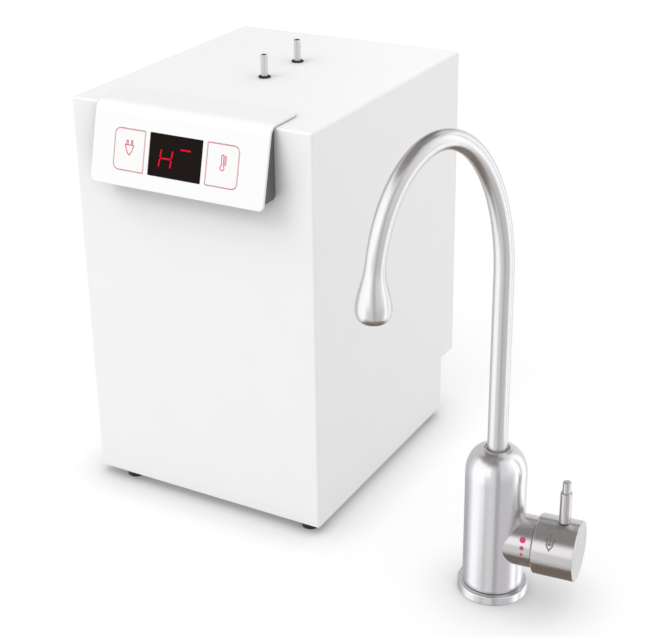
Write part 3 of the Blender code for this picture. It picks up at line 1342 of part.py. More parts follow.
def spout_radius(from_body, from_outlet, whole):
    """Outer radius: a slow taper, then the drop-shaped flare and its rounded end."""
    if from_outlet < BULB_HEIGHT:
        rise = from_outlet / BULB_HEIGHT
        return MOUTH_RADIUS + (BULB_RADIUS - MOUTH_RADIUS) * math.sqrt(max(0, 1 - (1 - rise) ** 2))
    taper = min(max(from_body / (whole - FLARE_LENGTH), 0), 1)
    plain = SPOUT_FOOT_RADIUS + (SPOUT_NECK_RADIUS - SPOUT_FOOT_RADIUS) * taper
    if from_outlet < FLARE_LENGTH:
        u = (FLARE_LENGTH - from_outlet) / (FLARE_LENGTH - BULB_HEIGHT)
        return plain + (BULB_RADIUS - plain) * u * u * (3 - 2 * u)
    return plain


def spout(spout_axis):
    """The swan neck: a tapered tube that widens to a drop at its outlet, turned down to a spigot."""
    route = spout_route()
    lengths = [0]
    for before, after in zip(route, route[1:]):
        lengths.append(lengths[-1] + (after - before).length)
    whole = lengths[-1] - SPIGOT_DEPTH
    radii = [spout_radius(at - SPIGOT_DEPTH, lengths[-1] - at, whole) for at in lengths]
    bores = [radius - SPOUT_WALL for radius in radii]
    for index, at in enumerate(lengths):
        if at <= SPIGOT_DEPTH + WELD:
            bores[index] = SPOUT_FOOT_RADIUS - SPIGOT_GROOVE - SPOUT_WALL
        if lengths[-1] - at < FLARE_LENGTH:
            bores[index] = SPOUT_NECK_RADIUS - SPOUT_WALL
    neck = place("spout_tube", swept(route, radii, SPOUT_SIDES, bores), "brushed_steel", spout_axis)
    outlet = route[-1]
    throat = outlet.z + NOZZLE_RECESS + NOZZLE_LENGTH + THROAT_SPACE
    cut(neck, rod(THROAT_RADIUS + CLEARANCE, outlet.z - OVERRUN, throat), (outlet.x, 0, 0))
    foot = route[0].z
    inner = SPOUT_FOOT_RADIUS - SPIGOT_GROOVE
    half = SPIGOT_RING_WIDTH / 2
    for index, name in enumerate(("spout_seal_lower", "spout_seal_upper")):
        middle = foot + SPIGOT_RING_LOW + index * SPIGOT_RING_PITCH
        groove = turned([
            (inner, middle - half), (SPOUT_FOOT_RADIUS + OVERRUN, middle - half),
            (SPOUT_FOOT_RADIUS + OVERRUN, middle + half), (inner, middle + half),
        ], SPOUT_SIDES)
        cut(neck, groove)
        ring = arc((inner + CLEARANCE + SEAL_CORD, middle), SEAL_CORD, 0, 2 * math.pi, SEAL_STEPS)[:-1]
        place(name, turned(ring, SPOUT_SIDES), "black_rubber", spout_axis)
    bore = SPOUT_FOOT_RADIUS + CLEARANCE
    low, high = BODY_TOP - BUSH_DEPTH + CLEARANCE, BODY_TOP - BUSH_RECESS
    bush = [(bore, low), (bore + BUSH_WALL, low), (bore + BUSH_WALL, high), (bore, high)]
    place("swivel_bush", turned(bush, ROUND_STEPS), "dark_plastic", spout_axis)
    start = outlet.z + NOZZLE_RECESS
    plug = place(
        "outlet_nozzle", rod(THROAT_RADIUS, start, start + NOZZLE_LENGTH), "dark_plastic",
        spout_axis, (outlet.x, 0, 0),
    )
    holes = [(0, 0)]
    for index in range(NOZZLE_HOLES):
        angle = 2 * math.pi * index / NOZZLE_HOLES
        holes.append((NOZZLE_RING * math.cos(angle), NOZZLE_RING * math.sin(angle)))
    for x, y in holes:
        hole = rod(NOZZLE_HOLE_RADIUS, start - OVERRUN, start + NOZZLE_LENGTH + OVERRUN, NOZZLE_HOLE_STEPS)
        cut(plug, hole, (x, y, 0))


def build():
    clear_scene()
    heater = frame("heater_frame", (HEATER_X, HEATER_Y, 0))
    tank_axis = frame("tank_axis", (TANK_X, TANK_Y, 0), parent=heater)
    corner_y, corner_z = hood_corner()
    hood = frame("hood_frame", (HOOD_SHIFT, 0, 0), parent=heater)
    panel = frame(
        "panel_frame", (0, corner_y, corner_z), (math.pi / 2 - HOOD_TILT, 0, 0), parent=hood
    )
    outer_case(heater)
    base_tray(heater)
    feet(heater)
    recess_panel(heater)
    rear_panel(heater)
    control_hood(panel)
    window_and_keys(panel)
    control_electronics(panel)
    control_housing(hood)
    stub_grommets(heater)
    tank(tank_axis)
    tank_stand(tank_axis)
    heating_element(tank_axis)
    lid_fittings(tank_axis)
    chassis(heater)
    power_board(heater)
    fill_valve(heater)
    pipes(heater)
    cord_gland(heater)
    faucet = frame(
        "faucet_frame",
        (HEATER_X + FAUCET_FROM_HEATER_X, HEATER_Y + FAUCET_FROM_HEATER_Y, 0),
        (0, 0, FAUCET_TURN),
    )
    spout_axis = frame("spout_axis", (0, 0, 0), (0, 0, SPOUT_YAW - FAUCET_TURN), faucet)
    valve_axis = frame("valve_axis", (0, 0, KNOB_Z), parent=faucet)
    base_flange(faucet)
    faucet_body(faucet)
    spindle_start = valve(faucet)
    knob(valve_axis, spindle_start)
    spout(spout_axis)


build()
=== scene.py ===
# %% [markdown]
# # Under-sink water dispenser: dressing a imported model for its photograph
# The set is a white heater cabinet with a control hood, and a swan-neck faucet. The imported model
# already holds every solid at its real size and place, with its joints. This lesson loads it as a
# fixed frame and puts finer skins, marks and finishes round it. The first cell only loads the frame
# and keeps its box, because everything later is measured from it.

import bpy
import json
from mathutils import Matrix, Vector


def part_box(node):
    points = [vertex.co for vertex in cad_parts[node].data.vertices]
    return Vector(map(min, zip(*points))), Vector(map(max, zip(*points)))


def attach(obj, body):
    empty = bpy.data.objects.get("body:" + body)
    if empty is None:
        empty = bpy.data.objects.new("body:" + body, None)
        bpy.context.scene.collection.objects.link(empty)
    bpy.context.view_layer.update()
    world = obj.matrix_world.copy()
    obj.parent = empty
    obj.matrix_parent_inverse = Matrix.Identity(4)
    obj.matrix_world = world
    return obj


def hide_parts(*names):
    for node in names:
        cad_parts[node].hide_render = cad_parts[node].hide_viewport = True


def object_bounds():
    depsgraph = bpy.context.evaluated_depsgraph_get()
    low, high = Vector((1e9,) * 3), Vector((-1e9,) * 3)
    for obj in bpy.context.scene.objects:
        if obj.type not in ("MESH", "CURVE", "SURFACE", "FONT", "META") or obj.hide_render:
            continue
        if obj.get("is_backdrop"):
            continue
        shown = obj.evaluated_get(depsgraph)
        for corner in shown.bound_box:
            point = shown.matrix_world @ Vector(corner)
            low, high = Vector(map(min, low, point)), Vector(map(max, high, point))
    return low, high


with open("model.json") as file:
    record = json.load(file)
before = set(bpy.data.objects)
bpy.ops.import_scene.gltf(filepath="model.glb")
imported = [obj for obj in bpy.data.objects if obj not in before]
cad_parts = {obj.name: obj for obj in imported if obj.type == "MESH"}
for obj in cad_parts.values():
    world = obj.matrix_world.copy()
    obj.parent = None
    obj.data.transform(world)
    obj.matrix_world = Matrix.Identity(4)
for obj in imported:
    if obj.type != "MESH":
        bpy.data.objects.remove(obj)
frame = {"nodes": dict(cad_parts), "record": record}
cad_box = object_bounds()
print("solids:", len(frame["nodes"]), "box:", cad_box)

# %% [markdown]
# ## Two places to build in
# The cabinet is easiest to draw round its own middle, and the faucet round its own upright axis,
# turned by six degrees. A matrix for each carries a shape from there into the frame. Reading the
# middle of the case and the spout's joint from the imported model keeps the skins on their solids,
# where typed numbers could drift away from them.

# %% Frames of the cabinet and the faucet
import json
import math

import bmesh
import bpy
from mathutils import Matrix, Vector

CLEARANCE = 0.0003
SHEET = 0.0012
RIGHT_ANGLE = math.pi / 2
WHOLE_TURN = 2 * math.pi
FAUCET_TURN = math.radians(6)
SPOUT_YAW = math.radians(-118.5)
KNOB_Z = 0.0525
TO_REAR = Matrix.Rotation(-RIGHT_ANGLE, 4, "X")
TO_SIDE = Matrix.Rotation(RIGHT_ANGLE, 4, "Y")


def shift(x, y, z):
    return Matrix.Translation((x, y, z))


case_low, case_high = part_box("outer_case")
case_middle = (case_low + case_high) / 2
HEATER = shift(case_middle.x, case_middle.y, 0)
joints = {joint["name"]: joint for joint in frame["record"]["behaviour"]["joints"]}
swivel = Vector(joints["spout_swivel"]["pos_m"])
upright = shift(swivel.x, swivel.y, 0)
FAUCET = upright @ Matrix.Rotation(FAUCET_TURN, 4, "Z")
SPOUT = upright @ Matrix.Rotation(SPOUT_YAW, 4, "Z")
VALVE = FAUCET @ shift(0, 0, KNOB_Z) @ TO_SIDE
print("cabinet middle:", tuple(round(v, 4) for v in HEATER.translation))
print("faucet axis:", tuple(round(v, 4) for v in FAUCET.translation))

# %% [markdown]
# ## The camera first
# The photograph was matched by its nine cabinet corners: the lens, the direction and the small roll
# come from that fit, and a little shift puts the cabinet where the photograph has it. The camera
# could be aimed with a constraint, but a written matrix says the same thing every time it runs.

# %% Camera
AZIMUTH, ELEVATION, ROLL = (math.radians(angle) for angle in (30.4059, 23.2276, -1.2806))
DISTANCE = 1.3831
AIM = HEATER @ Vector((0.0296, -0.0123, 0.190))
LENS = 79.486
SENSOR = 36
SHIFT_X, SHIFT_Y = 0.044515, -0.068955


def add_object(name, data, place=Matrix()):
    """A new object in the scene, at a place."""
    made = bpy.data.objects.new(name, data)
    made.matrix_world = place
    bpy.context.scene.collection.objects.link(made)
    return made


def camera_matrix():
    back = Vector((
        math.sin(AZIMUTH) * math.cos(ELEVATION), -math.cos(AZIMUTH) * math.cos(ELEVATION),
        math.sin(ELEVATION),
    ))
    right = (-back).cross(Vector((0, 0, 1))).normalized()
    up = right.cross(-back)
    right, up = (
        math.cos(ROLL) * right + math.sin(ROLL) * up, -math.sin(ROLL) * right + math.cos(ROLL) * up,
    )
    turn = Matrix((right, up, back)).transposed().to_4x4()
    return Matrix.Translation(AIM + back * DISTANCE) @ turn


camera = add_object("camera", bpy.data.cameras.new("camera"), camera_matrix())
camera.data.lens, camera.data.sensor_width = LENS, SENSOR
camera.data.shift_x, camera.data.shift_y = SHIFT_X, SHIFT_Y
camera.data.clip_end = 50
bpy.context.scene.camera = camera
print("camera at", tuple(round(v, 3) for v in camera.matrix_world.translation))

# %% [markdown]
# ## A small kit for node trees
# A finish is a node tree, and writing one out socket by socket hides what it does. One helper makes
# a node, sets its plain values and links the sockets it is given, and small ones on top of it do a
# sum, a noise and a blend. Another opens a material on its Principled shader. Numbers that are the
# same all over stay on the shader itself.

# %% Node helpers
def add_node(tree, kind, inputs=(), **settings):
    made = tree.nodes.new(f"ShaderNode{kind}")
    for name, value in settings.items():
        setattr(made, name, value)
    for name, value in dict(inputs).items():
        if isinstance(value, bpy.types.NodeSocket):
            tree.links.new(value, made.inputs[name])
        else:
            made.inputs[name].default_value = value
    return made


def calc(tree, operation, first, second):
    return add_node(tree, "Math", {0: first, 1: second}, operation=operation).outputs[0]


def own_place(tree):
    """The object's own coordinates in metres."""
    return add_node(tree, "TexCoord").outputs["Object"]


def noise(tree, place, scale, detail=2.0, **fourth):
    """Noise from zero to one, and four-dimensional where W is given."""
    sockets = {"Vector": place, "Scale": scale, "Detail": detail, **fourth}
    kind = "4D" if fourth else "3D"
    return add_node(tree, "TexNoise", sockets, noise_dimensions=kind).outputs["Fac"]


def blend(tree, share, first, second):
    """Two colours mixed, all of the second where share is one."""
    sockets = {"Factor": share, 6: first, 7: second}
    return add_node(tree, "Mix", sockets, data_type="RGBA").outputs[2]


def feed(tree, node, **sources):
    """Links each source to the node's socket of that name."""
    for socket, source in sources.items():
        tree.links.new(source, node.inputs[socket.replace("_", " ")])


def open_material(name, **plain):
    """A material with its Principled shader, and the shader's plain values set."""
    material = bpy.data.materials.new(name)
    material.use_nodes = True
    shader = material.node_tree.nodes["Principled BSDF"]
    for socket, value in plain.items():
        shader.inputs[socket.replace("_", " ")].default_value = value
    return material, material.node_tree, shader


def new_group(name, takes, gives):
    """A shader node group with named sockets: takes and gives map a name to (type, value)."""
    group = bpy.data.node_groups.new(name, "ShaderNodeTree")
    for direction, sockets in (("INPUT", takes), ("OUTPUT", gives)):
        for socket, (kind, value) in sockets.items():
            made = group.interface.new_socket(
                socket, in_out=direction, socket_type=f"NodeSocket{kind}"
            )
            made.default_value = value
    entry = group.nodes.new("NodeGroupInput")
    leave = group.nodes.new("NodeGroupOutput")
    return group, entry.outputs, leave.inputs


print("node helpers ready")

# %% [markdown]
# ## Fine grain, for everything sprayed or moulded
# Powder coat has an orange peel a millimetre across, moulded plastic and rubber have a finer spark
# pattern, and none of them is the same shade all over. An image could carry that, but noise in
# object coordinates has no seams and keeps its scale in metres. It is one group with its count of
# grains to the metre, gloss and shade as inputs, so each finish only chooses its numbers.

# %% Group: fine grain
GRAIN_INPUTS = {
    "Colour": ("Color", (0.8, 0.8, 0.8, 1)), "Shade": ("Float", 0.03), "Count": ("Float", 900),
    "Gloss": ("Float", 0.4), "Spread": ("Float", 0.06),
}
GRAIN_OUTPUTS = {
    "Colour": ("Color", (0.8, 0.8, 0.8, 1)), "Roughness": ("Float", 0.4), "Height": ("Float", 0.5),
}
CLOUD_SCALE = 0.03


def blend_shade(tree, colour, shade, mask):
    """The colour, darkened by the share shade where mask is one."""
    return blend(tree, calc(tree, "MULTIPLY", shade, mask), colour, (0, 0, 0, 1))


def spread_about(tree, middle, spread, value):
    """middle plus spread times (value - 0.5)."""
    off = calc(tree, "SUBTRACT", value, 0.5)
    return calc(tree, "ADD", calc(tree, "MULTIPLY", off, spread), middle)


def closed(group, takes, gives, darkens, dulls, rises):
    """Ends a group with what darkens its colour, varies its gloss and raises its bump."""
    group.links.new(blend_shade(group, takes["Colour"], takes["Shade"], darkens), gives["Colour"])
    group.links.new(spread_about(group, takes["Gloss"], takes["Spread"], dulls), gives["Roughness"])
    group.links.new(rises, gives["Height"])
    print("group:", group.name, [socket.name for socket in group.interface.items_tree])
    return group


def make_grain_group():
    group, takes, gives = new_group("fine grain", GRAIN_INPUTS, GRAIN_OUTPUTS)
    place = own_place(group)
    fine = noise(group, place, takes["Count"])
    wide = noise(group, place, calc(group, "MULTIPLY", takes["Count"], CLOUD_SCALE), 3.0)
    both = calc(group, "MULTIPLY", calc(group, "ADD", fine, wide), 0.5)
    return closed(group, takes, gives, both, wide, fine)


GRAIN = make_grain_group()

# %% [markdown]
# ## Turning lines, for everything made on a lathe
# A turned surface carries fine rings round its axis: along a cylinder they change with the height,
# and on an end face with the radius. A four-dimensional noise reads both at once, stretched hard
# along height and radius and hardly at all round the axis, so one group serves walls, domes and
# faces. Each turned piece keeps its own Z on its axis for this.

# %% Group: turning lines
LINE_INPUTS = {
    "Colour": ("Color", (0.6, 0.6, 0.6, 1)), "Shade": ("Float", 0.1), "Count": ("Float", 2500),
    "Gloss": ("Float", 0.3), "Spread": ("Float", 0.1),
}
ROUND_SCALE = 60.0


def make_line_group():
    group, takes, gives = new_group("turning lines", LINE_INPUTS, GRAIN_OUTPUTS)
    split = add_node(group, "SeparateXYZ", {"Vector": own_place(group)}).outputs
    x_squared, y_squared = (calc(group, "POWER", split[axis], 2.0) for axis in "XY")
    radius = calc(group, "SQRT", calc(group, "ADD", x_squared, y_squared), 0.0)
    counts = {"X": ROUND_SCALE, "Y": ROUND_SCALE, "Z": takes["Count"]}
    stretched = add_node(group, "CombineXYZ", {
        axis: calc(group, "MULTIPLY", split[axis], count) for axis, count in counts.items()
    }).outputs["Vector"]
    outward = calc(group, "MULTIPLY", radius, takes["Count"])
    rings = noise(group, stretched, 1.0, 3.0, W=outward)
    return closed(group, takes, gives, rings, rings, rings)


LINES = make_line_group()

# %% [markdown]
# ## Finishes
# Almost every finish here is one of the two groups feeding colour, roughness and a bump, under a
# Principled shader with its own plain values. The bump's depth is a real one in metres: a few
# hundredths of a millimetre for orange peel, and less than a thousandth for a finely turned face.
# One line of numbers makes each, and the few that need something more are built in the next step.
# The cabinet's paint is also darkened close under raised edges, as the photograph is below the
# hood: painted shade in its colour, from the ambient occlusion node. That could be left to the
# lamps alone, but a sun as broad as this one gives too little.

# %% Finishes from the two groups
AO_SAMPLES = 6
# Painted shade under edges: reach and weight pairs, and the heights where it fades in above the
# floor.
EDGE_SHADOW, CLEAR_OF_FLOOR = ((0.052, 0.22), (0.032, 0.58)), (0.08, 0.16)


def textured(group, name, colour, shade, count, gloss, spread, depth, **plain):
    """A material whose colour, roughness and bump come from a group."""
    material, tree, shader = open_material(name, **plain)
    made = add_node(tree, "Group", {
        "Colour": (*colour, 1), "Shade": shade, "Count": count, "Gloss": gloss, "Spread": spread,
    }, node_tree=group).outputs
    sockets = {"Height": made["Height"], "Strength": 1.0, "Distance": depth}
    bump = add_node(tree, "Bump", sockets).outputs["Normal"]
    feed(tree, shader, Base_Color=made["Colour"], Roughness=made["Roughness"], Normal=bump)
    return material


def openness(tree, reaches):
    """One in the open, falling by each weight where something stands within its reach in metres."""
    left = 1.0
    for reach, weight in reaches:
        sockets = {"Distance": reach}
        found = add_node(tree, "AmbientOcclusion", sockets, samples=AO_SAMPLES)
        shut = calc(tree, "SUBTRACT", 1.0, found.outputs["AO"])
        left = calc(tree, "SUBTRACT", left, calc(tree, "MULTIPLY", shut, weight))
    return left


def paint_shade_under_edges(material, reaches, clear_of_floor):
    """Paints shade into the base colour close under a raised edge on a pale face, but not near the
    floor.
    """
    tree = material.node_tree
    place = add_node(tree, "NewGeometry").outputs["Position"]
    height = add_node(tree, "SeparateXYZ", {"Vector": place}).outputs["Z"]
    high_up = add_node(tree, "MapRange", {
        "Value": height, "From Min": clear_of_floor[0], "From Max": clear_of_floor[1],
    }).outputs["Result"]
    shut = calc(tree, "SUBTRACT", 1.0, openness(tree, reaches))
    left = calc(tree, "SUBTRACT", 1.0, calc(tree, "MULTIPLY", shut, high_up))
    into = tree.nodes["Principled BSDF"].inputs["Base Color"]
    sockets = {"Vector": into.links[0].from_socket, "Scale": left}
    scaled = add_node(tree, "VectorMath", sockets, operation="SCALE").outputs["Vector"]
    tree.links.new(scaled, into)
    return material


def grained(name, *numbers, **plain):
    """Colour, shade, grains to the metre, gloss, its spread and the bump's depth, in this order."""
    return textured(GRAIN, name, *numbers, **plain)


def lined(name, *numbers):
    """Turned metal, whose gloss is wider across its turning lines than along them."""
    material = textured(
        LINES, name, *numbers, Metallic=1.0, Anisotropic=0.6, Anisotropic_Rotation=0.25
    )
    tree = material.node_tree
    round_axis = add_node(tree, "Tangent", direction_type="RADIAL", axis="Z")
    feed(tree, tree.nodes["Principled BSDF"], Tangent=round_axis.outputs["Tangent"])
    return material


# The cabinet's paint carries painted shade close under raised edges.
powder_coat_with_painted_shade = paint_shade_under_edges(
    grained("powder coat with painted shade", (0.90, 0.90, 0.90), 0.03, 1100, 0.40, 0.08, 0.00003),
    EDGE_SHADOW, CLEAR_OF_FLOOR,
)
hood_enamel = grained("hood enamel", (0.895, 0.895, 0.90), 0.02, 350, 0.20, 0.04, 0.00001)
key_enamel = grained("key enamel", (0.885, 0.875, 0.875), 0.02, 350, 0.25, 0.04, 0.00001)
dark_moulding = grained("dark moulding", (0.125, 0.126, 0.138), 0.15, 1800, 0.50, 0.12, 0.00004)
grey_moulding = grained("grey moulding", (0.45, 0.44, 0.44), 0.12, 1800, 0.45, 0.10, 0.00003)
rubber = grained("rubber", (0.018, 0.018, 0.018), 0.30, 2600, 0.72, 0.15, 0.00003)
foam = grained("foam", (0.80, 0.79, 0.74), 0.20, 1200, 0.90, 0.06, 0.0002)
white_moulding = grained("white moulding", (0.82, 0.82, 0.80), 0.05, 1500, 0.45, 0.10, 0.00003)
winding_cover = grained("winding cover", (0.05, 0.10, 0.28), 0.20, 1500, 0.50, 0.12, 0.00003)
red_ink = grained("red ink", (0.66, 0.030, 0.075), 0.10, 3000, 0.35, 0.10, 0.00001)
border_ink = grained("border ink", (0.72, 0.060, 0.105), 0.12, 3000, 0.35, 0.10, 0.00001)
magenta_ink = grained("magenta ink", (0.60, 0.022, 0.16), 0.12, 3000, 0.30, 0.10, 0.00001)
etched_mark = grained("etched mark", (0.16, 0.155, 0.15), 0.25, 3500, 0.55, 0.15, 0.00001)
satin_steel = grained(
    "satin steel", (0.635, 0.63, 0.638), 0.03, 2500, 0.29, 0.03, 0.0000008, Metallic=1.0
)
drawn_steel = grained(
    "drawn steel", (0.66, 0.655, 0.65), 0.12, 1600, 0.30, 0.15, 0.00001, Metallic=1.0
)
# A dark dull finish that paints the shade deep inside the stubs' bores.
bore_shade_paint = grained("painted bore shade", (0.035, 0.032, 0.030), 0.30, 3000, 0.85, 0.10, 0.00001)
turned_steel = lined("turned steel", (0.67, 0.66, 0.68), 0.03, 2600, 0.27, 0.02, 0.0000004)
# A darker copy of the turned steel: painted shade on the collar, knob and lever pin.
shaded_valve_steel = lined("shaded valve steel", (0.565, 0.55, 0.555), 0.03, 2600, 0.27, 0.02, 0.0000003)
turned_brass = lined("turned brass", (0.72, 0.55, 0.26), 0.18, 2200, 0.30, 0.12, 0.00001)
print("finishes:", len(bpy.data.materials))

# %% [markdown]
# ## Five finishes with something more
# Zinc-coated sheet shows spangle, flat crystals a few millimetres wide, and a Voronoi texture is
# exactly that. A circuit board has a faint weave under its lacquer and rows of solder. The display
# window is a black lens that hardly shines, because it is glare-free. Its digits glow, so they send
# out light of their own instead of waiting for the lamps, and the bars that are off are a shade
# lighter than the lens.

# %% Zinc sheet, circuit board, lens and glowing digits
SPANGLES, PADS, PAD_SIZE, WEAVE, GLOW_CLOUDS = 160.0, 260.0, 0.22, 900.0, 700.0
GLARE_FREE, GLOW = 0.02, 0.48


def zinc_sheet():
    material, tree, shader = open_material("zinc sheet", Metallic=0.9)
    sockets = {"Vector": own_place(tree), "Scale": SPANGLES}
    cells = add_node(tree, "TexVoronoi", sockets).outputs["Color"]
    shade = add_node(tree, "SeparateColor", {"Color": cells}).outputs[0]
    colour = blend(tree, shade, (0.52, 0.54, 0.56, 1), (0.66, 0.68, 0.70, 1))
    feed(tree, shader, Base_Color=colour, Roughness=spread_about(tree, 0.40, 0.16, shade))
    return material


def circuit_board():
    material, tree, shader = open_material("circuit board")
    place = own_place(tree)
    sockets = {"Vector": place, "Scale": PADS, "Randomness": 0.35}
    pads = add_node(tree, "TexVoronoi", sockets).outputs["Distance"]
    solder = calc(tree, "LESS_THAN", pads, PAD_SIZE)
    weave = noise(tree, place, WEAVE)
    green = blend_shade(tree, (0.02, 0.16, 0.07, 1), 0.35, weave)
    feed(
        tree, shader, Base_Color=blend(tree, solder, green, (0.55, 0.55, 0.53, 1)),
        Metallic=calc(tree, "MULTIPLY", solder, 0.8),
        Roughness=spread_about(tree, 0.42, 0.15, weave),
    )
    return material


def glowing_segment():
    material, tree, shader = open_material(
        "glowing segment", Roughness=0.5, Specular_IOR_Level=GLARE_FREE, Emission_Strength=GLOW
    )
    cloud = noise(tree, own_place(tree), GLOW_CLOUDS)
    red = blend_shade(tree, (0.62, 0.006, 0.022, 1), 0.35, cloud)
    feed(tree, shader, Base_Color=red, Emission_Color=red)
    return material


smoked_lens = grained(
    "smoked lens", (0.013, 0.0085, 0.0075), 0.25, 500, 0.30, 0.05, 0.000005,
    Specular_IOR_Level=GLARE_FREE,
)
unlit_segment = grained(
    "unlit segment", (0.017, 0.0095, 0.0085), 0.20, 900, 0.40, 0.05, 0.000005,
    Specular_IOR_Level=GLARE_FREE,
)
zinc = zinc_sheet()
green_board = circuit_board()
digit_glow = glowing_segment()
print("finishes:", len(bpy.data.materials))

# %% [markdown]
# ## Finishes for the solids that stay
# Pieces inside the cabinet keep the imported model's own meshes: nothing about their shape needs to
# change. Their record names a slot for each, so one table from slot to finish dresses them all, and
# no piece can be forgotten.

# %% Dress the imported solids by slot
FINISH_OF_SLOT = {
    "white_steel": powder_coat_with_painted_shade, "galvanised": zinc, "stainless": drawn_steel,
    "white_gloss": hood_enamel, "dark_plastic": dark_moulding, "black_lens": smoked_lens,
    "black_rubber": rubber, "green_board": green_board, "foam": foam, "brass": turned_brass,
    "white_plastic": white_moulding, "brushed_steel": turned_steel, "coil_blue": winding_cover,
}
slot_of_node = {part["node"]: part["material_slot"] for part in frame["record"]["subparts"]}
for name, solid in frame["nodes"].items():
    for material_slot in solid.material_slots:
        material_slot.material = FINISH_OF_SLOT[slot_of_node[name]]
print("dressed:", len(slot_of_node))

# %% [markdown]
# ## Turning a mesh into a piece
# Each skin ends the same way: smooth shading that stays crisp at real corners, normals weighted by
# face area so that the flats stay flat beside their small radii, its finish, and the body it rides
# on. Doing that in one function keeps each later cell about shape alone.

# %% Piece helper
SHARP_ANGLE = math.radians(35)
pieces_made = []


def mesh_of(made, name="spare"):
    """Turns a bmesh into a mesh, and lets the bmesh go."""
    mesh = bpy.data.meshes.new(name)
    made.to_mesh(mesh)
    made.free()
    return mesh


def piece(name, made, finish, place=HEATER, body="dispenser", stands_for=()):
    """Makes one object from a bmesh, dresses it and lets it ride on a body."""
    mesh = mesh_of(made, name)
    mesh.shade_smooth()
    mesh.set_sharp_from_angle(angle=SHARP_ANGLE)
    mesh.materials.append(finish)
    obj = add_object(name, mesh, place)
    weighted = obj.modifiers.new("flat faces stay flat", "WEIGHTED_NORMAL")
    weighted.keep_sharp = True
    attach(obj, body)
    if stands_for:
        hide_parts(*stands_for)
    pieces_made.append(obj)
    return obj


def facing_out(made):
    bmesh.ops.recalc_face_normals(made, faces=made.faces)
    if made.calc_volume(signed=True) < 0:
        bmesh.ops.reverse_faces(made, faces=made.faces)
    return made


print("piece helper ready")

# %% [markdown]
# ## Outlines with soft corners
# Real edges are never knife-sharp, and it is the small radius that catches the light. A corner can
# be softened on the finished mesh, but on the outline it is cheaper and exact: each point may carry
# a radius, and the corner becomes an arc that touches both sides.

# %% Outline helpers
SAME_POINT, NEAR = 0.000002, 0.00001


def spaced(start, end, steps):
    """Values from start to end in equal steps, both ends included."""
    return [start + (end - start) * step / steps for step in range(steps + 1)]


def filleted(points, steps=5):
    """A closed outline of (x, y) or (x, y, radius) points, with an arc at each radius."""
    found = []
    for index, point in enumerate(points):
        corner = Vector(point[:2])
        radius = point[2] if len(point) == 3 else 0
        if not radius:
            found.append(corner)
            continue
        before = (Vector(points[index - 1][:2]) - corner).normalized()
        after = (Vector(points[(index + 1) % len(points)][:2]) - corner).normalized()
        half = before.angle(after) / 2
        centre = corner + (before + after).normalized() * radius / math.sin(half)
        start = corner + before * radius / math.tan(half) - centre
        end = corner + after * radius / math.tan(half) - centre
        sweep = start.angle(end)
        for t in spaced(0, 1, steps):
            share = math.sin((1 - t) * sweep) * start + math.sin(t * sweep) * end
            found.append(centre + share / math.sin(sweep))
    return found


def rectangle(low, high, corners, steps=8):
    """A rectangle's outline, anticlockwise from its low corner, with one radius for each corner."""
    places = ((low[0], low[1]), (high[0], low[1]), (high[0], high[1]), (low[0], high[1]))
    return filleted([(*place, radius) for place, radius in zip(places, corners)], steps)


print("corner of 5 mm in", len(rectangle((0, 0), (0.02, 0.02), (0.005, 0, 0, 0))) - 3, "points")

# %% [markdown]
# ## Four ways to make a solid
# Most of this set is turned, stacked, extruded or swept. Turned pieces spin an outline. Stacked
# ones join the same outline at several levels, each a little smaller, which is how a moulded cap or
# a pressed plate gets its rounded rim, holes included. A channel is one outline drawn out along X.
# Pipes are rings carried along a line. Modifiers could do each, but plain rings give the exact
# faces that the shading needs.

# %% Solids: turned and stacked
def turned(profile, steps=72):
    """Spins a closed outline of (radius, height) points about Z."""
    made = bmesh.new()
    points = [made.verts.new((max(point[0], 0), 0, point[1])) for point in profile]
    pairs = zip(points, points[1:] + points[:1])
    edges = [made.edges.new(pair) for pair in pairs if max(v.co.x for v in pair) > SAME_POINT / 2]
    bmesh.ops.spin(
        made, geom=points + edges, cent=(0, 0, 0), axis=(0, 0, 1),
        angle=WHOLE_TURN, steps=steps, use_merge=True,
    )
    bmesh.ops.remove_doubles(made, verts=made.verts, dist=SAME_POINT)
    return facing_out(made)


def lathe(points, corner_steps, steps):
    return turned(filleted(points, corner_steps), steps)


def rod(radius, low, high, steps=48):
    return turned([(0, low), (radius, low), (radius, high), (0, high)], steps)


def ring_of(made, points, height):
    return [made.verts.new((point[0], point[1], height)) for point in points]


def wall_between(made, lower, upper):
    """Joins two rings of equal length with quads."""
    count = len(lower)
    for step in range(count):
        after = (step + 1) % count
        made.faces.new((lower[step], lower[after], upper[after], upper[step]))


def walls(made, rows):
    for lower, upper in zip(rows, rows[1:]):
        wall_between(made, lower, upper)


def stacked(levels, outlines):
    """Joins outlines(inset) at each (height, inset) level. Any loop after the first is a hole."""
    made = bmesh.new()
    rows = [[ring_of(made, loop, height) for loop in outlines(inset)] for height, inset in levels]
    for lower, upper in zip(rows, rows[1:]):
        for low_ring, high_ring in zip(lower, upper):
            wall_between(made, low_ring, high_ring)
    for row in (rows[0], rows[-1]):
        if len(row) == 1:
            made.faces.new(row[0])
            continue
        edges = [
            made.edges.get(pair) or made.edges.new(pair)
            for ring in row for pair in zip(ring, ring[1:] + ring[:1])
        ]
        bmesh.ops.triangle_fill(made, edges=edges, use_beauty=True)
    return facing_out(made)


def rim(low, high, edge, back_edge=0.0, steps=4):
    """Levels from low to high with a rounded rim of radius edge at the top."""
    found = [(low, back_edge), (low + back_edge, 0)] if back_edge else [(low, 0)]
    for angle in spaced(0, RIGHT_ANGLE, steps):
        found.append((high - edge + edge * math.sin(angle), edge * (1 - math.cos(angle))))
    return found


print("a turned ring has", len(turned([(1, 0), (2, 0), (2, 1), (1, 1)]).faces), "faces")

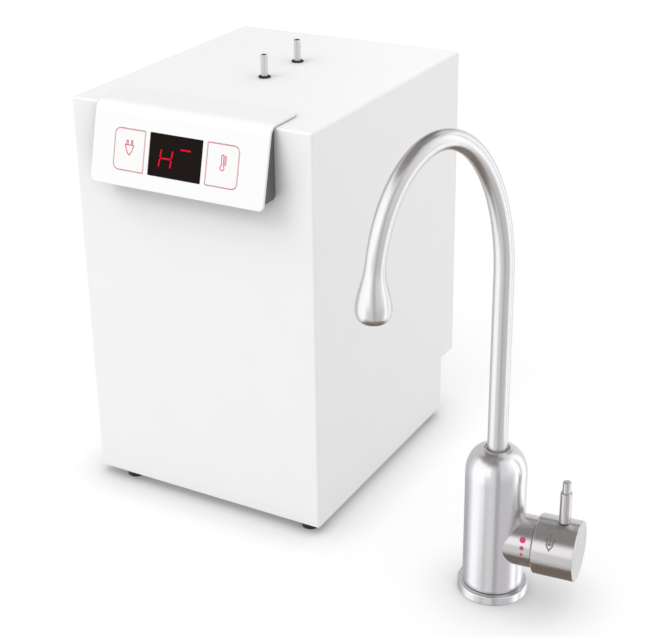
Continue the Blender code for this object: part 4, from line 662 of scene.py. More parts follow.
# %% Solids: channels, blocks and cuts
def channel(profile, half_width):
    """Extrudes a (y, z) outline along X, to half_width on each side."""
    made = stacked([(-half_width, 0), (half_width, 0)], lambda inset: [profile])
    turn = Matrix(((0, 0, 1), (1, 0, 0), (0, 1, 0))).to_4x4()
    bmesh.ops.transform(made, matrix=turn, verts=made.verts)
    return facing_out(made)


def block(low, high):
    made = bmesh.new()
    bmesh.ops.create_cube(made, size=1)
    low, high = Vector(low), Vector(high)
    bmesh.ops.scale(made, vec=high - low, verts=made.verts)
    bmesh.ops.translate(made, vec=(low + high) / 2, verts=made.verts)
    return facing_out(made)


def round_edges(made, edges, radius, segments=3):
    bmesh.ops.bevel(
        made, geom=edges, offset=radius, segments=segments, profile=0.5, affect="EDGES"
    )


def moved(made, matrix):
    bmesh.ops.transform(made, matrix=matrix, verts=made.verts)
    return made


def merged(*shapes):
    """Puts several bmeshes into one, as separate closed shells."""
    target = shapes[0]
    for shape in shapes[1:]:
        spare = mesh_of(shape)
        target.from_mesh(spare)
        bpy.data.meshes.remove(spare)
    return target


def carved(made, *tools, operation="DIFFERENCE"):
    """Runs exact Booleans on a bmesh, through objects that don't stay in the scene."""
    spare = [add_object("spare", mesh_of(shape)) for shape in (made, *tools)]
    for tool in spare[1:]:
        modifier = spare[0].modifiers.new("carve", "BOOLEAN")
        modifier.operation = operation
        modifier.solver = "EXACT"
        modifier.object = tool
    result = bmesh.new()
    result.from_object(spare[0], bpy.context.evaluated_depsgraph_get())
    for obj in spare:
        mesh = obj.data
        bpy.data.objects.remove(obj)
        bpy.data.meshes.remove(mesh)
    return result


drilled = carved(block((0, 0, 0), (1, 1, 1)), rod(0.2, -1, 2))
print("a drilled block has", len(drilled.faces), "faces")

# %% Solids: swept pipes
def stations_along(points, radii):
    """(point, tangent, radius) at each point of a line."""
    found = []
    for index, point in enumerate(points):
        ahead, behind = points[min(index + 1, len(points) - 1)], points[max(index - 1, 0)]
        found.append((point, (ahead - behind).normalized(), radii[index]))
    return found


def swept(stations, sides=48):
    """A closed tube through rings that go out along one wall and may come back along another."""
    made = bmesh.new()
    normal = stations[0][1].orthogonal().normalized()
    rows = []
    for point, tangent, radius in stations:
        normal = (normal - tangent * normal.dot(tangent)).normalized()
        side = tangent.cross(normal)
        rows.append([
            made.verts.new(point + (normal * math.cos(a) + side * math.sin(a)) * radius)
            for a in spaced(0, WHOLE_TURN, sides)[:-1]
        ])
    walls(made, rows + rows[:1])
    return facing_out(made)


def bent_route(corners, bend, steps=10):
    """Straight runs through the corners, with a quadratic curve at each one."""
    corners = [Vector(corner) for corner in corners]
    route = [corners[0]]
    for before, corner, after in zip(corners, corners[1:], corners[2:]):
        reach = min(bend, (before - corner).length / 2, (after - corner).length / 2)
        start = corner + (before - corner).normalized() * reach
        end = corner + (after - corner).normalized() * reach
        for t in spaced(0, 1, steps):
            route.append(start * (1 - t) ** 2 + corner * 2 * t * (1 - t) + end * t**2)
    return route + [corners[-1]]


print("sweep helper ready")

# %% [markdown]
# ## The cabinet's cover
# Front, top and both sides are one sheet of steel, folded with a radius of about two millimetres
# and powder-coated. Solidify over a folded surface would do, but a bevelled box that is hollowed
# from behind is simpler, and it gives the lip round the back and the stepped notch as true cuts.
# The lower rim is rounded over as well, because that is the bright line along the bottom edge.

# %% Cover
CASE_WIDTH, CASE_DEPTH, CASE_HEIGHT = 0.243, 0.288, 0.372
FOOT_HEIGHT = 0.008
CASE_EDGE, LOWER_RIM = 0.0022, 0.0006
REAR_LIP, NOTCH_DEPTH, NOTCH_HEIGHT = 0.010, 0.029, 0.057
SIDE, FRONT, REAR = CASE_WIDTH / 2, -CASE_DEPTH / 2, CASE_DEPTH / 2
CASE_TOP = FOOT_HEIGHT + CASE_HEIGHT
NOTCH_TOP = FOOT_HEIGHT + NOTCH_HEIGHT
RECESS = REAR - NOTCH_DEPTH
STUB_X, STUB_FRONT_Y, STUB_REAR_Y = 0.0005, -0.017, 0.043
TOP_HOLE = 0.0052
OVER = 0.003


def lowest_edges(made):
    return [e for e in made.edges if max(v.co.z for v in e.verts) < FOOT_HEIGHT + NEAR]


def cover():
    made = block((-SIDE, FRONT, FOOT_HEIGHT), (SIDE, REAR, CASE_TOP))
    under = lowest_edges(made)
    round_edges(made, [e for e in made.edges if e not in under], CASE_EDGE, 8)
    round_edges(made, lowest_edges(made), LOWER_RIM)
    below, lip = FOOT_HEIGHT - OVER, SIDE - REAR_LIP
    holes = [
        moved(rod(TOP_HOLE, -OVER, OVER, 32), shift(STUB_X, y, CASE_TOP))
        for y in (STUB_FRONT_Y, STUB_REAR_Y)
    ]
    return carved(
        made,
        block((SHEET - SIDE, FRONT + SHEET, below), (SIDE - SHEET, REAR - SHEET, CASE_TOP - SHEET)),
        block((-lip, RECESS, below), (lip, REAR + OVER, CASE_TOP - REAR_LIP)),
        block((-SIDE - OVER, RECESS, below), (SIDE + OVER, REAR + OVER, NOTCH_TOP)),
        *holes,
    )


cover_skin = piece("cover_skin", cover(), powder_coat_with_painted_shade, stands_for=["outer_case"])
print("cover:", tuple(round(v, 4) for v in cover_skin.dimensions), "m")

# %% [markdown]
# ## Rubber feet
# Four turned feet, a little narrower below, with a dished underside and a plug through the floor of
# the cabinet. A cylinder primitive would miss the taper and the dish, and both show when the
# cabinet is seen from below, so the outline is drawn and spun.

# %% Feet
FOOT_RADIUS, FOOT_TAPER, FOOT_EDGE, RUBBER_EDGE = 0.009, 0.0008, 0.0010, 0.0004
DISH_RADIUS, DISH_DEPTH, SCREW_HOLE = 0.004, 0.005, 0.0014
PLUG_RADIUS, PLUG_TOP = 0.003, 0.0102
FOOT_X = {"left": 0.032 - SIDE, "right": SIDE - 0.0155}
FOOT_Y = {"front": FRONT + 0.0125, "rear": RECESS - 0.018}
FOOT_PLACES = {f"{row}_{side}": (x, y) for row, y in FOOT_Y.items() for side, x in FOOT_X.items()}


def foot():
    low, seat = FOOT_RADIUS - FOOT_TAPER, FOOT_HEIGHT - CLEARANCE
    return lathe([
        (SCREW_HOLE, DISH_DEPTH), (DISH_RADIUS, DISH_DEPTH), (DISH_RADIUS, 0, RUBBER_EDGE),
        (low, 0, FOOT_EDGE), (FOOT_RADIUS, seat, RUBBER_EDGE), (PLUG_RADIUS, seat),
        (PLUG_RADIUS, PLUG_TOP, RUBBER_EDGE), (SCREW_HOLE, PLUG_TOP),
    ], 4, 48)


for corner, (x, y) in FOOT_PLACES.items():
    piece(
        f"foot_skin_{corner}", foot(), rubber, HEATER @ shift(x, y, 0),
        stands_for=[f"foot_{corner}"],
    )
print("feet:", len(FOOT_PLACES), "of", FOOT_RADIUS * 2, "m")

# %% [markdown]
# ## The rear sheet and its louvres
# Warm air leaves through nine louvres, each a tongue lanced out of the sheet that closes towards
# its ends. A Boolean gives a slot but no tongue, so each one is a strip of arcs whose size falls
# away over the last few millimetres, and the slot behind it follows the same curve.

# %% Rear sheet
INNER_SIDE = SIDE - SHEET - CLEARANCE
PANEL_BACK = REAR - SHEET - CLEARANCE
PANEL_FACE = PANEL_BACK - SHEET
LOUVRES, PITCH, LOUVRE_HALF = 9, 0.011, 0.060
SLOT, REACH, END_RUN, FIRST_DROP = 0.0045, 0.0035, 0.006, 0.040


def end_scale(x):
    """How much of its full size a louvre has at x."""
    beyond = max(abs(x) - (LOUVRE_HALF - END_RUN), 0) / END_RUN
    return math.sqrt(max(1 - beyond**2, 0.0004))


def louvre_stations(steps=8):
    outer = [LOUVRE_HALF - END_RUN * (1 - math.sin(a)) for a in spaced(0, RIGHT_ANGLE, steps)]
    return [-x for x in reversed(outer)] + outer


def slot_outline(base):
    xs = louvre_stations()
    arch = [(x, base + SLOT * end_scale(x)) for x in reversed(xs)]
    return [(xs[0], base), (xs[-1], base)] + arch


def louvre(base, steps=8):
    made = bmesh.new()
    rows = []
    for x in louvre_stations():
        scale, row = end_scale(x), []
        for thick, way in ((SHEET, 1), (0, -1)):
            row += [
                made.verts.new((
                    x, PANEL_FACE + CLEARANCE + (REACH + thick) * scale * math.cos(a),
                    base + (SLOT + thick) * scale * math.sin(a),
                ))
                for a in spaced(0, RIGHT_ANGLE, steps)[::way]
            ]
        rows.append(row)
    walls(made, rows)
    made.faces.new(rows[0])
    made.faces.new(rows[-1])
    return facing_out(made)


def rear_sheet():
    bases = [CASE_TOP - FIRST_DROP - index * PITCH - SLOT for index in range(LOUVRES)]
    top = CASE_TOP - SHEET - CLEARANCE
    border = [
        (-INNER_SIDE, NOTCH_TOP), (INNER_SIDE, NOTCH_TOP), (INNER_SIDE, top), (-INNER_SIDE, top),
    ]
    loops = [border] + [slot_outline(base) for base in bases]
    flat = stacked([(-PANEL_BACK, 0), (-PANEL_FACE, 0)], lambda inset: loops)
    flat = moved(flat, Matrix.Rotation(RIGHT_ANGLE, 4, "X"))
    return merged(flat, *[louvre(base) for base in bases])


piece("rear_sheet_skin", rear_sheet(), zinc, stands_for=["rear_panel"])
print("louvres:", LOUVRES, "reach past the sheet:", REACH + SHEET)

# %% [markdown]
# ## Screws
# Pan-head screws with a cross recess hold the rear sheets and sit in the dished feet. They are too
# small to be solids of the part. A picture of a cross would be flat when seen from close by, so the
# recess is carved. One function makes the head for every place, so that all of them are the same
# screw, as on the real cabinet, and each is turned a little further than the one before.

# %% Screws
HEAD_RADIUS, HEAD_HEIGHT, HEAD_EDGE, HEAD_FLAT = 0.0032, 0.0018, 0.0006, 0.0014
CROSS_ARM, CROSS_REACH = 0.00035, 0.0017
HEAD_WALL, CROSS_FLOOR = 0.45, 0.35
SCREW_SPIN = 0.7
LIP_SCREWS_Z, LIP_SCREWS_X = (0.090, 0.220, 0.350), (-0.070, 0.070)
RECESS_SCREWS_X, RECESS_SCREWS_Z = (-0.108, 0.108), (0.020, 0.052)
FOOT_SCREWS_Z = 0.0048
TO_FLOOR = Matrix.Rotation(math.pi, 4, "X")


def screw_head():
    dome = lathe([
        (0, 0), (HEAD_RADIUS, 0), (HEAD_RADIUS, HEAD_HEIGHT * HEAD_WALL, HEAD_EDGE),
        (HEAD_FLAT, HEAD_HEIGHT), (0, HEAD_HEIGHT),
    ], 5, 32)
    floor, above = HEAD_HEIGHT * CROSS_FLOOR, HEAD_HEIGHT + OVER
    bars = [
        block((-x, -y, floor), (x, y, above))
        for x, y in ((CROSS_REACH, CROSS_ARM), (CROSS_ARM, CROSS_REACH))
    ]
    return carved(dome, carved(*bars, operation="UNION"))


def screws_at(places, turn):
    """One screw at each place, each turned a little further than the one before."""
    return merged(*[
        moved(screw_head(), shift(*place) @ turn @ Matrix.Rotation(index * SCREW_SPIN, 4, "Z"))
        for index, place in enumerate(places)
    ])


lip_middle = SIDE - REAR_LIP / 2
SCREWS = {
    "lip": (TO_REAR, [
        *((side * lip_middle, REAR, z) for side in (-1, 1) for z in LIP_SCREWS_Z),
        *((x, REAR, CASE_TOP - REAR_LIP / 2) for x in LIP_SCREWS_X),
    ]),
    "recess": (TO_REAR, [(x, RECESS, z) for x in RECESS_SCREWS_X for z in RECESS_SCREWS_Z]),
    "foot": (TO_FLOOR, [(x, y, FOOT_SCREWS_Z) for x, y in FOOT_PLACES.values()]),
}
for name, (turn, places) in SCREWS.items():
    piece(f"{name}_screws", screws_at(places, turn), drawn_steel)
print("screws:", sum(len(places) for _, places in SCREWS.values()))

# %% [markdown]
# ## The control hood
# A white plate folded over the cabinet's front top edge, with a soft bend, round corners and a
# window between two keys. It is drawn flat, as it would be blanked: the plate is stacked with its
# rounded rim and its three openings, sliced across where it bends, and rolled round the bend. Doing
# it flat keeps the openings true, which bending a solid afterwards wouldn't.

# %% Hood
HOOD_WIDTH, HOOD_SHIFT, HOOD_THICKNESS = 0.176, -0.003, 0.0025
HOOD_FACE, HOOD_TOP, HOOD_OVERHANG, HOOD_BEND = 0.0707, 0.044, 0.0057, 0.0105
PLATE_SHIFT = 0.002
HOOD_TILT = math.radians(14.3)
HOOD_CORNERS = (0.005, 0.005, 0.0075, 0.0075)
HOOD_RIM, HOOD_BACK_RIM, OPENING_RIM = 0.0007, 0.0002, 0.3
GROUP_DROP, GROUP_HEIGHT = 0.0205, 0.0362
WINDOW_WIDTH, KEY_WIDTH, KEY_SPACE = 0.053, 0.0315, 0.0050
KEY_OUTER_CORNER, KEY_INNER_CORNER, WINDOW_CORNER = 0.0055, 0.0007, 0.0006
FOLD = RIGHT_ANGLE - HOOD_TILT
HOOD = HEATER @ shift(HOOD_SHIFT, 0, 0)
CORNER_Y, CORNER_Z = FRONT - HOOD_OVERHANG, CASE_TOP + CLEARANCE + HOOD_THICKNESS
PANEL = HOOD @ shift(0, CORNER_Y, CORNER_Z) @ Matrix.Rotation(FOLD, 4, "X")


def group_outline(name, margin):
    """The window's or a key's outline on the hood's face, grown by margin."""
    low, high = -GROUP_DROP - GROUP_HEIGHT - margin, margin - GROUP_DROP
    half = WINDOW_WIDTH / 2
    near, far = half + KEY_SPACE - margin, half + KEY_SPACE + KEY_WIDTH + margin
    soft, tight = KEY_OUTER_CORNER + margin, KEY_INNER_CORNER + margin
    if name == "window":
        reach = half + margin
        return rectangle((-reach, low), (reach, high), [WINDOW_CORNER + margin] * 4)
    if name == "eco":
        return rectangle((-far, low), (-near, high), (soft, tight, tight, soft))
    return rectangle((near, low), (far, high), (tight, soft, soft, tight))


def rolled(made, tangent, bend, steps=20):
    """Slices a flat plate across its bend and rolls it round."""
    for cut in spaced(0, bend, steps):
        geometry = made.verts[:] + made.edges[:] + made.faces[:]
        bmesh.ops.bisect_plane(
            made, geom=geometry, dist=SAME_POINT, plane_co=(0, cut, 0), plane_no=(0, 1, 0)
        )
    for vertex in made.verts:
        along = vertex.co.y
        angle = min(max(along, 0) / HOOD_BEND, FOLD)
        beyond = max(along - bend, 0) if along > 0 else along
        radius = HOOD_BEND + vertex.co.z
        vertex.co.y = radius * math.sin(angle) + beyond * math.cos(angle) - tangent
        vertex.co.z = radius * math.cos(angle) - HOOD_BEND - beyond * math.sin(angle)
    return facing_out(made)


def hood():
    tangent, bend = HOOD_BEND * math.tan(FOLD / 2), HOOD_BEND * FOLD
    face = HOOD_FACE - tangent
    rear = bend + HOOD_TOP - tangent
    half = HOOD_WIDTH / 2

    def outlines(inset):
        border = rectangle(
            (PLATE_SHIFT + inset - half, inset - face), (PLATE_SHIFT + half - inset, rear - inset),
            [radius - inset for radius in HOOD_CORNERS],
        )
        holes = [
            group_outline(name, CLEARANCE + inset * OPENING_RIM)
            for name in ("window", "eco", "keep_warm")
        ]
        return [border] + [[(x, y + tangent) for x, y in hole] for hole in holes]

    flat = stacked(rim(-HOOD_THICKNESS, 0, HOOD_RIM, HOOD_BACK_RIM), outlines)
    return rolled(flat, tangent, bend)


hood_skin = piece("hood_skin", hood(), hood_enamel, PANEL, stands_for=["control_hood"])
print("hood:", tuple(round(v, 4) for v in hood_skin.dimensions), "m")

# %% [markdown]
# ## Window and keys
# The window is a fixed black lens. Each key is a moulded cap with a softened rim, a skirt behind
# the hood that keeps it from falling out, and a stem over its switch. One stack of levels holds
# rim, wall and skirt together, because a negative inset makes the outline wider.

# %% Window and keys
SEAT = HOOD_THICKNESS + CLEARANCE
SKIRT, SKIRT_THICKNESS, CAP_RIM = 0.0012, 0.001, 0.00025
STEM_RADIUS = 0.002
BODY_OF_KEY = {"eco": "eco_button", "keep_warm": "keep_warm_button"}


def cap_levels():
    back = SEAT + SKIRT_THICKNESS
    return [(-back, -SKIRT), (-SEAT, -SKIRT)] + rim(-SEAT, 0, CAP_RIM, steps=3)


def key_middle(name):
    side = -1 if name == "eco" else 1
    away = (WINDOW_WIDTH + KEY_WIDTH) / 2 + KEY_SPACE
    return side * away, -GROUP_DROP - GROUP_HEIGHT / 2


window = stacked(cap_levels(), lambda inset: [group_outline("window", -inset)])
piece("window_skin", window, smoked_lens, PANEL, stands_for=["display_window"])
for key, body in BODY_OF_KEY.items():
    cap = stacked(cap_levels(), lambda inset, key=key: [group_outline(key, -inset)])
    solid = frame["nodes"][f"{key}_key"].data
    deepest = min((PANEL.inverted() @ vertex.co).z for vertex in solid.vertices)
    x, y = key_middle(key)
    stem = moved(rod(STEM_RADIUS, deepest, -SEAT, 32), shift(x, y, 0))
    piece(
        f"{key}_key_skin", merged(cap, stem), key_enamel, PANEL, body, stands_for=[f"{key}_key"]
    )
    print(key, "key, stem down to", round(deepest, 4))

# %% [markdown]
# ## Printed lines and icons
# Each key has a thin red line round its edge and a small line drawing: a plug for the saving mode
# and a thermometer for keeping the water warm. Printing is ink a few hundredths of a millimetre
# thick, so a texture would do on a screen, but real strips stay sharp at any distance and move with
# their key. A stroke helper turns a line of points into a ribbon with clean corners.

# %% Ink helpers
INK = 0.00004
STROKE, ICON_STROKE, TICK_STROKE = 0.00045, 0.00085, 0.0011
MITRE_LIMIT = 0.4


def ribbon(points, width, closed=False):
    """Two edges, left and right of a line of points, with mitred corners."""
    points = [Vector(point) for point in points]
    count = len(points)
    left, right = [], []
    for index, point in enumerate(points):
        before = points[index - 1] if closed or index else None
        after = points[(index + 1) % count] if closed or index < count - 1 else None
        ways = []
        if before is not None:
            ways.append((point - before).normalized())
        if after is not None:
            ways.append((after - point).normalized())
        mean = sum(ways, Vector((0, 0))).normalized()
        normal = Vector((-mean.y, mean.x))
        reach = width / 2 / max(Vector((-ways[0].y, ways[0].x)).dot(normal), MITRE_LIMIT)
        left.append(point + normal * reach)
        right.append(point - normal * reach)
    return left, right


def draw_stroke(made, points, width=STROKE, closed=False):
    left, right = ribbon(points, width, closed)
    rows = [ring_of(made, side, 0) for side in (left, right)]
    count = len(points) if closed else len(points) - 1
    for step in range(count):
        after = (step + 1) % len(points)
        made.faces.new((rows[1][step], rows[1][after], rows[0][after], rows[0][step]))


def raised(made, thickness=INK, below=INK):
    """Gives flat ink its thickness, from just under the surface to just over it."""
    bmesh.ops.translate(made, vec=(0, 0, -below), verts=made.verts)
    top = bmesh.ops.extrude_face_region(made, geom=made.faces[:])["geom"]
    top = [v for v in top if isinstance(v, bmesh.types.BMVert)]
    bmesh.ops.translate(made, vec=(0, 0, thickness + below), verts=top)
    return facing_out(made)


def mirrored(points):
    """The same points on the other side of x = 0, in the opposite order."""
    return [(-x, y) for x, y in reversed(points)]


def arc(centre, radius, start, end, steps):
    x, y = centre
    angles = spaced(start, end, steps)
    return [(x + radius * math.cos(a), y + radius * math.sin(a)) for a in angles]


def circle(centre, radius, steps):
    return arc(centre, radius, 0, WHOLE_TURN, steps)[:-1]


print("ink is", INK, "m thick")

# %% Key borders, plug and thermometer
BORDER_FROM_EDGE = 0.00042
PRONG_X, PRONG_HALF, PRONG_LOW, PRONG_HIGH = 0.0024, 0.0007, 0.0046, 0.0082
PLUG_SIDE = (
    (0.0044, 0.0043), (0.0044, 0.0030), (0.0034, 0.0022), (0.0032, 0.0002), (0.0014, -0.0030),
)
PLUG_TIP = -0.0044
TUBE_HALF, TUBE_TOP, BULB, BULB_Y = 0.00105, 0.0082, 0.0020, -0.0018
TICKS, FIRST_TICK, TICK_PITCH, TICK_START, TICK_END = 5, 0.0080, 0.0017, 0.0019, 0.0038


def key_border(name):
    made = bmesh.new()
    draw_stroke(made, group_outline(name, -BORDER_FROM_EDGE), STROKE, closed=True)
    return raised(made)


def plug_icon():
    made = bmesh.new()
    for side in (-1, 1):
        near, far = side * PRONG_X - PRONG_HALF, side * PRONG_X + PRONG_HALF
        prong = [(near, PRONG_LOW), (near, PRONG_HIGH), (far, PRONG_HIGH), (far, PRONG_LOW)]
        draw_stroke(made, prong, ICON_STROKE)
    shield = list(PLUG_SIDE) + [(0, PLUG_TIP)] + mirrored(PLUG_SIDE)
    draw_stroke(made, shield, ICON_STROKE, closed=True)
    return raised(made)


def thermometer_icon():
    made = bmesh.new()
    start = RIGHT_ANGLE - math.asin(TUBE_HALF / BULB)
    tube = arc((0, TUBE_TOP), TUBE_HALF, 0, math.pi, 10)
    bulb = arc((0, BULB_Y), BULB, 2 * RIGHT_ANGLE - start, 4 * RIGHT_ANGLE + start, 26)
    draw_stroke(made, tube + bulb, ICON_STROKE, closed=True)
    for index in range(TICKS):
        y = FIRST_TICK - index * TICK_PITCH
        draw_stroke(made, [(TICK_START, y), (TICK_END, y)], TICK_STROKE)
    return raised(made)


ICONS = {"eco": plug_icon, "keep_warm": thermometer_icon}
for key, body in BODY_OF_KEY.items():
    piece(f"{key}_border", key_border(key), border_ink, PANEL, body)
    x, y = key_middle(key)
    icon_place = PANEL @ shift(x, y, 0)
    piece(f"{key}_icon", ICONS[key](), red_ink, icon_place, body)
print("key prints:", 2 * len(BODY_OF_KEY))

# %% [markdown]
# ## Seven-segment digits
# The window shows a slanted H and the top bar of a second digit. Each digit is seven bars with
# pointed ends, as in a real display, and the bars that are off are modelled too, barely lighter
# than the lens, so that the display holds up when it is seen close. A table says which bars glow.

# %% Digits
DIGIT_HALF_WIDTH, DIGIT_HALF_HEIGHT, BAR, SLANT = 0.0058, 0.0080, 0.0014, 0.125
DIGIT_PLACES = ((-0.0093, -0.0408), (0.0092, -0.0392))
LIT = (("upper_left", "lower_left", "middle", "upper_right", "lower_right"), ("top",))
BAR_GAP = 0.00035


def bar_outline(name):
    """One bar with pointed ends, in the digit's own plane."""
    w, h, half = DIGIT_HALF_WIDTH, DIGIT_HALF_HEIGHT, BAR / 2
    level = {"top": h, "middle": 0, "bottom": -h}
    if name in level:
        y, end = level[name], w - BAR_GAP
        return [
            (-end, y), (half - end, y + half), (end - half, y + half), (end, y),
            (end - half, y - half), (half - end, y - half),
        ]
    x = -w if name.endswith("left") else w
    low, high = (0, h) if name.startswith("upper") else (-h, 0)
    low, high = low + BAR_GAP, high - BAR_GAP
    return [
        (x, low), (x + half, low + half), (x + half, high - half), (x, high),
        (x - half, high - half), (x - half, low + half),
    ]


ALL_BARS = ("top", "middle", "bottom", "upper_left", "lower_left", "upper_right", "lower_right")
glowing, unlit = bmesh.new(), bmesh.new()
for (x, y), lit in zip(DIGIT_PLACES, LIT):
    for bar in ALL_BARS:
        target = glowing if bar in lit else unlit
        target.faces.new(ring_of(
            target, [(x + px + SLANT * py, y + py) for px, py in bar_outline(bar)], 0
        ))
piece("lit_bars", raised(glowing), digit_glow, PANEL)
piece("unlit_bars", raised(unlit), unlit_segment, PANEL)
print("bars lit:", sum(len(lit) for lit in LIT), "of", len(ALL_BARS) * len(LIT))

# %% [markdown]
# ## The dark housing behind the hood
# A dark grey moulded box fills the wedge between the sloping face and the cabinet, and only its
# side shows. Its outline follows the inside of the hood's bend above and has a round lower rear
# corner. It is drawn once for the outside and once, smaller, for the hollow. Stacking could round
# the edges of its two side faces, but a bevel on those edges alone leaves the outline as drawn.

# %% Housing
HOUSING_INSET, HOUSING_WALL, HOUSING_CORNER = 0.001, 0.0015, 0.004
HOUSING_DROP, HOUSING_RISE, HOUSING_EDGE = 0.0012, 0.0045, 0.0005
CABLE_HOLE = 0.006


def face_back(height, depth):
    """y of the plane that lies depth behind the hood's sloping face, at this height."""
    return CORNER_Y - (CORNER_Z - height) * math.tan(HOOD_TILT) + depth / math.cos(HOOD_TILT)


def under_bend(high, depth, steps=6):
    """Points that follow the inside of the hood's bend, from high down to the flat face."""
    middle_y, middle_z = CORNER_Y + HOOD_BEND * math.tan(FOLD / 2), CORNER_Z - HOOD_BEND
    radius = HOOD_BEND - depth
    start = math.asin((high - middle_z) / radius)
    return [
        (middle_y - radius * math.cos(a), middle_z + radius * math.sin(a))
        for a in spaced(start, HOOD_TILT, steps)
    ]


def wedge(inset, depth, half):
    bottom = CORNER_Z - HOOD_FACE * math.cos(HOOD_TILT) + HOUSING_RISE
    low, high, back = bottom + inset, CASE_TOP - HOUSING_DROP - inset, FRONT - CLEARANCE - inset
    outline = filleted(under_bend(high, depth) + [
        (face_back(low, depth), low), (back, low, HOUSING_CORNER - inset), (back, high),
    ], 8)
    return channel([tuple(point) for point in outline], half)


def housing():
    half = HOOD_WIDTH / 2 - HOUSING_INSET
    outside = wedge(0, SEAT, half)
    ends = [
        e for e in outside.edges
        if abs(e.verts[0].co.x - e.verts[1].co.x) < NEAR and abs(e.verts[0].co.x) > half / 2
    ]
    round_edges(outside, ends, HOUSING_EDGE)
    level = CORNER_Z - (GROUP_DROP + GROUP_HEIGHT / 2) * math.cos(HOOD_TILT)
    hole = moved(rod(CABLE_HOLE, -OVER, OVER, 32), shift(-PLATE_SHIFT, FRONT, level) @ TO_REAR)
    return carved(outside, wedge(HOUSING_WALL, SEAT - OVER, half - HOUSING_WALL), hole)


housing_skin = piece(
    "housing_skin", housing(), dark_moulding, HOOD @ shift(PLATE_SHIFT, 0, 0),
    stands_for=["control_housing"],
)
print("housing:", tuple(round(v, 4) for v in housing_skin.dimensions), "m")

# %% [markdown]
# ## Stubs and their grommets
# Two steel stubs stand on the top, the hot outlet in front and the cold inlet behind, each in a
# black rubber grommet. The outlet is one turned tube with its nut on the tank's lid, and the inlet
# is a tube that bends down to the valve, so one is spun and the other is swept along its route. The
# photograph's stubs look black inside, so a thin dull ring of painted shade lines the top of each
# bore, standing in for the shade deep inside the tube.

# %% Grommets, outlet and inlet
STUB_RADIUS, STUB_BORE, STUB_RISE = 0.003175, 0.0021, 0.0212
GROMMET_RADIUS, GROMMET_NECK, GROMMET_RISE, GROMMET_FLANGE = 0.0057, 0.0049, 0.0014, 0.001
NUT_RADIUS, NUT_HEIGHT, NUT_EDGE = 0.0085, 0.006, 0.0005
INLET_RUN, INLET_BEND = 0.050, 0.028
CUT_EDGE = 0.0003
BORE_SHADE_GAP, BORE_SHADE_THICKNESS, BORE_SHADE_DEPTH = 0.00005, 0.00025, 0.020
stub_top = CASE_TOP + STUB_RISE


def grommet():
    bore, above, below = STUB_RADIUS + CLEARANCE, CLEARANCE, -SHEET - CLEARANCE
    bottom = below - GROMMET_FLANGE
    return lathe([
        (bore, bottom), (GROMMET_RADIUS, bottom, RUBBER_EDGE), (GROMMET_RADIUS, below),
        (GROMMET_NECK, below), (GROMMET_NECK, above), (GROMMET_RADIUS, above),
        (GROMMET_RADIUS, GROMMET_RISE, 0.0007), (bore, GROMMET_RISE, CUT_EDGE),
    ], 4, 48)


def outlet_tube():
    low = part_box("hot_outlet_pipe")[0].z
    nut_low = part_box("tank_lid")[1].z + CLEARANCE
    nut_high = nut_low + NUT_HEIGHT
    return lathe([
        (STUB_BORE, low), (STUB_RADIUS, low), (STUB_RADIUS, nut_low),
        (NUT_RADIUS, nut_low, NUT_EDGE), (NUT_RADIUS, nut_high, NUT_EDGE), (STUB_RADIUS, nut_high),
        (STUB_RADIUS, stub_top, CUT_EDGE), (STUB_BORE, stub_top, 0.0002),
    ], 4, 48)


def inlet_tube():
    low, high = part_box("cold_inlet_pipe")
    valve_x = high.x - STUB_RADIUS - HEATER.translation.x
    valve_y = high.y - STUB_RADIUS - HEATER.translation.y
    turn = CASE_TOP - INLET_RUN
    route = bent_route([
        (STUB_X, STUB_REAR_Y, stub_top), (STUB_X, STUB_REAR_Y, turn),
        (valve_x, valve_y, turn - INLET_RUN), (valve_x, valve_y, low.z),
    ], INLET_BEND)
    outside = stations_along(route, [STUB_RADIUS] * len(route))
    point, tangent, _ = outside[0]
    lip = [
        (point, tangent, STUB_BORE), (point, tangent, STUB_RADIUS - CUT_EDGE),
        (point + tangent * CUT_EDGE, tangent, STUB_RADIUS),
    ]
    inside = [(place, way, STUB_BORE) for place, way, _ in reversed(outside)]
    return swept(lip + outside[1:] + inside[:-1], 32)


def painted_bore_shade():
    """A thin dull ring of painted shade in the first two centimetres of a stub's bore."""
    film, inner = STUB_BORE - BORE_SHADE_GAP, STUB_BORE - BORE_SHADE_THICKNESS
    low, high = STUB_RISE - BORE_SHADE_DEPTH, STUB_RISE - CUT_EDGE
    return turned([(inner, low), (film, low), (film, high), (inner, high)], 32)


for name, y in (("front", STUB_FRONT_Y), ("rear", STUB_REAR_Y)):
    place = HEATER @ shift(STUB_X, y, CASE_TOP)
    piece(f"grommet_skin_{name}", grommet(), rubber, place, stands_for=[f"stub_grommet_{name}"])
    # A ring of painted shade inside each bore.
    piece(f"painted_bore_shade_{name}", painted_bore_shade(), bore_shade_paint, place)
outlet_place = HEATER @ shift(STUB_X, STUB_FRONT_Y, 0)
piece("outlet_tube_skin", outlet_tube(), drawn_steel, outlet_place, stands_for=["hot_outlet_pipe"])
piece("inlet_tube_skin", inlet_tube(), drawn_steel, stands_for=["cold_inlet_pipe"])
print("stubs stand", STUB_RISE, "m above the top")

# %% [markdown]
# ## Drain cap and cord gland
# Behind, in the notch, the tank's drain ends in a black cap with grip ribs, and the mains cord
# would enter by a gland. Ribs are a pattern round an axis: the outline is spun and then its wall is
# drawn in and let out by a cosine of the angle, which is quicker than a Boolean for each rib.

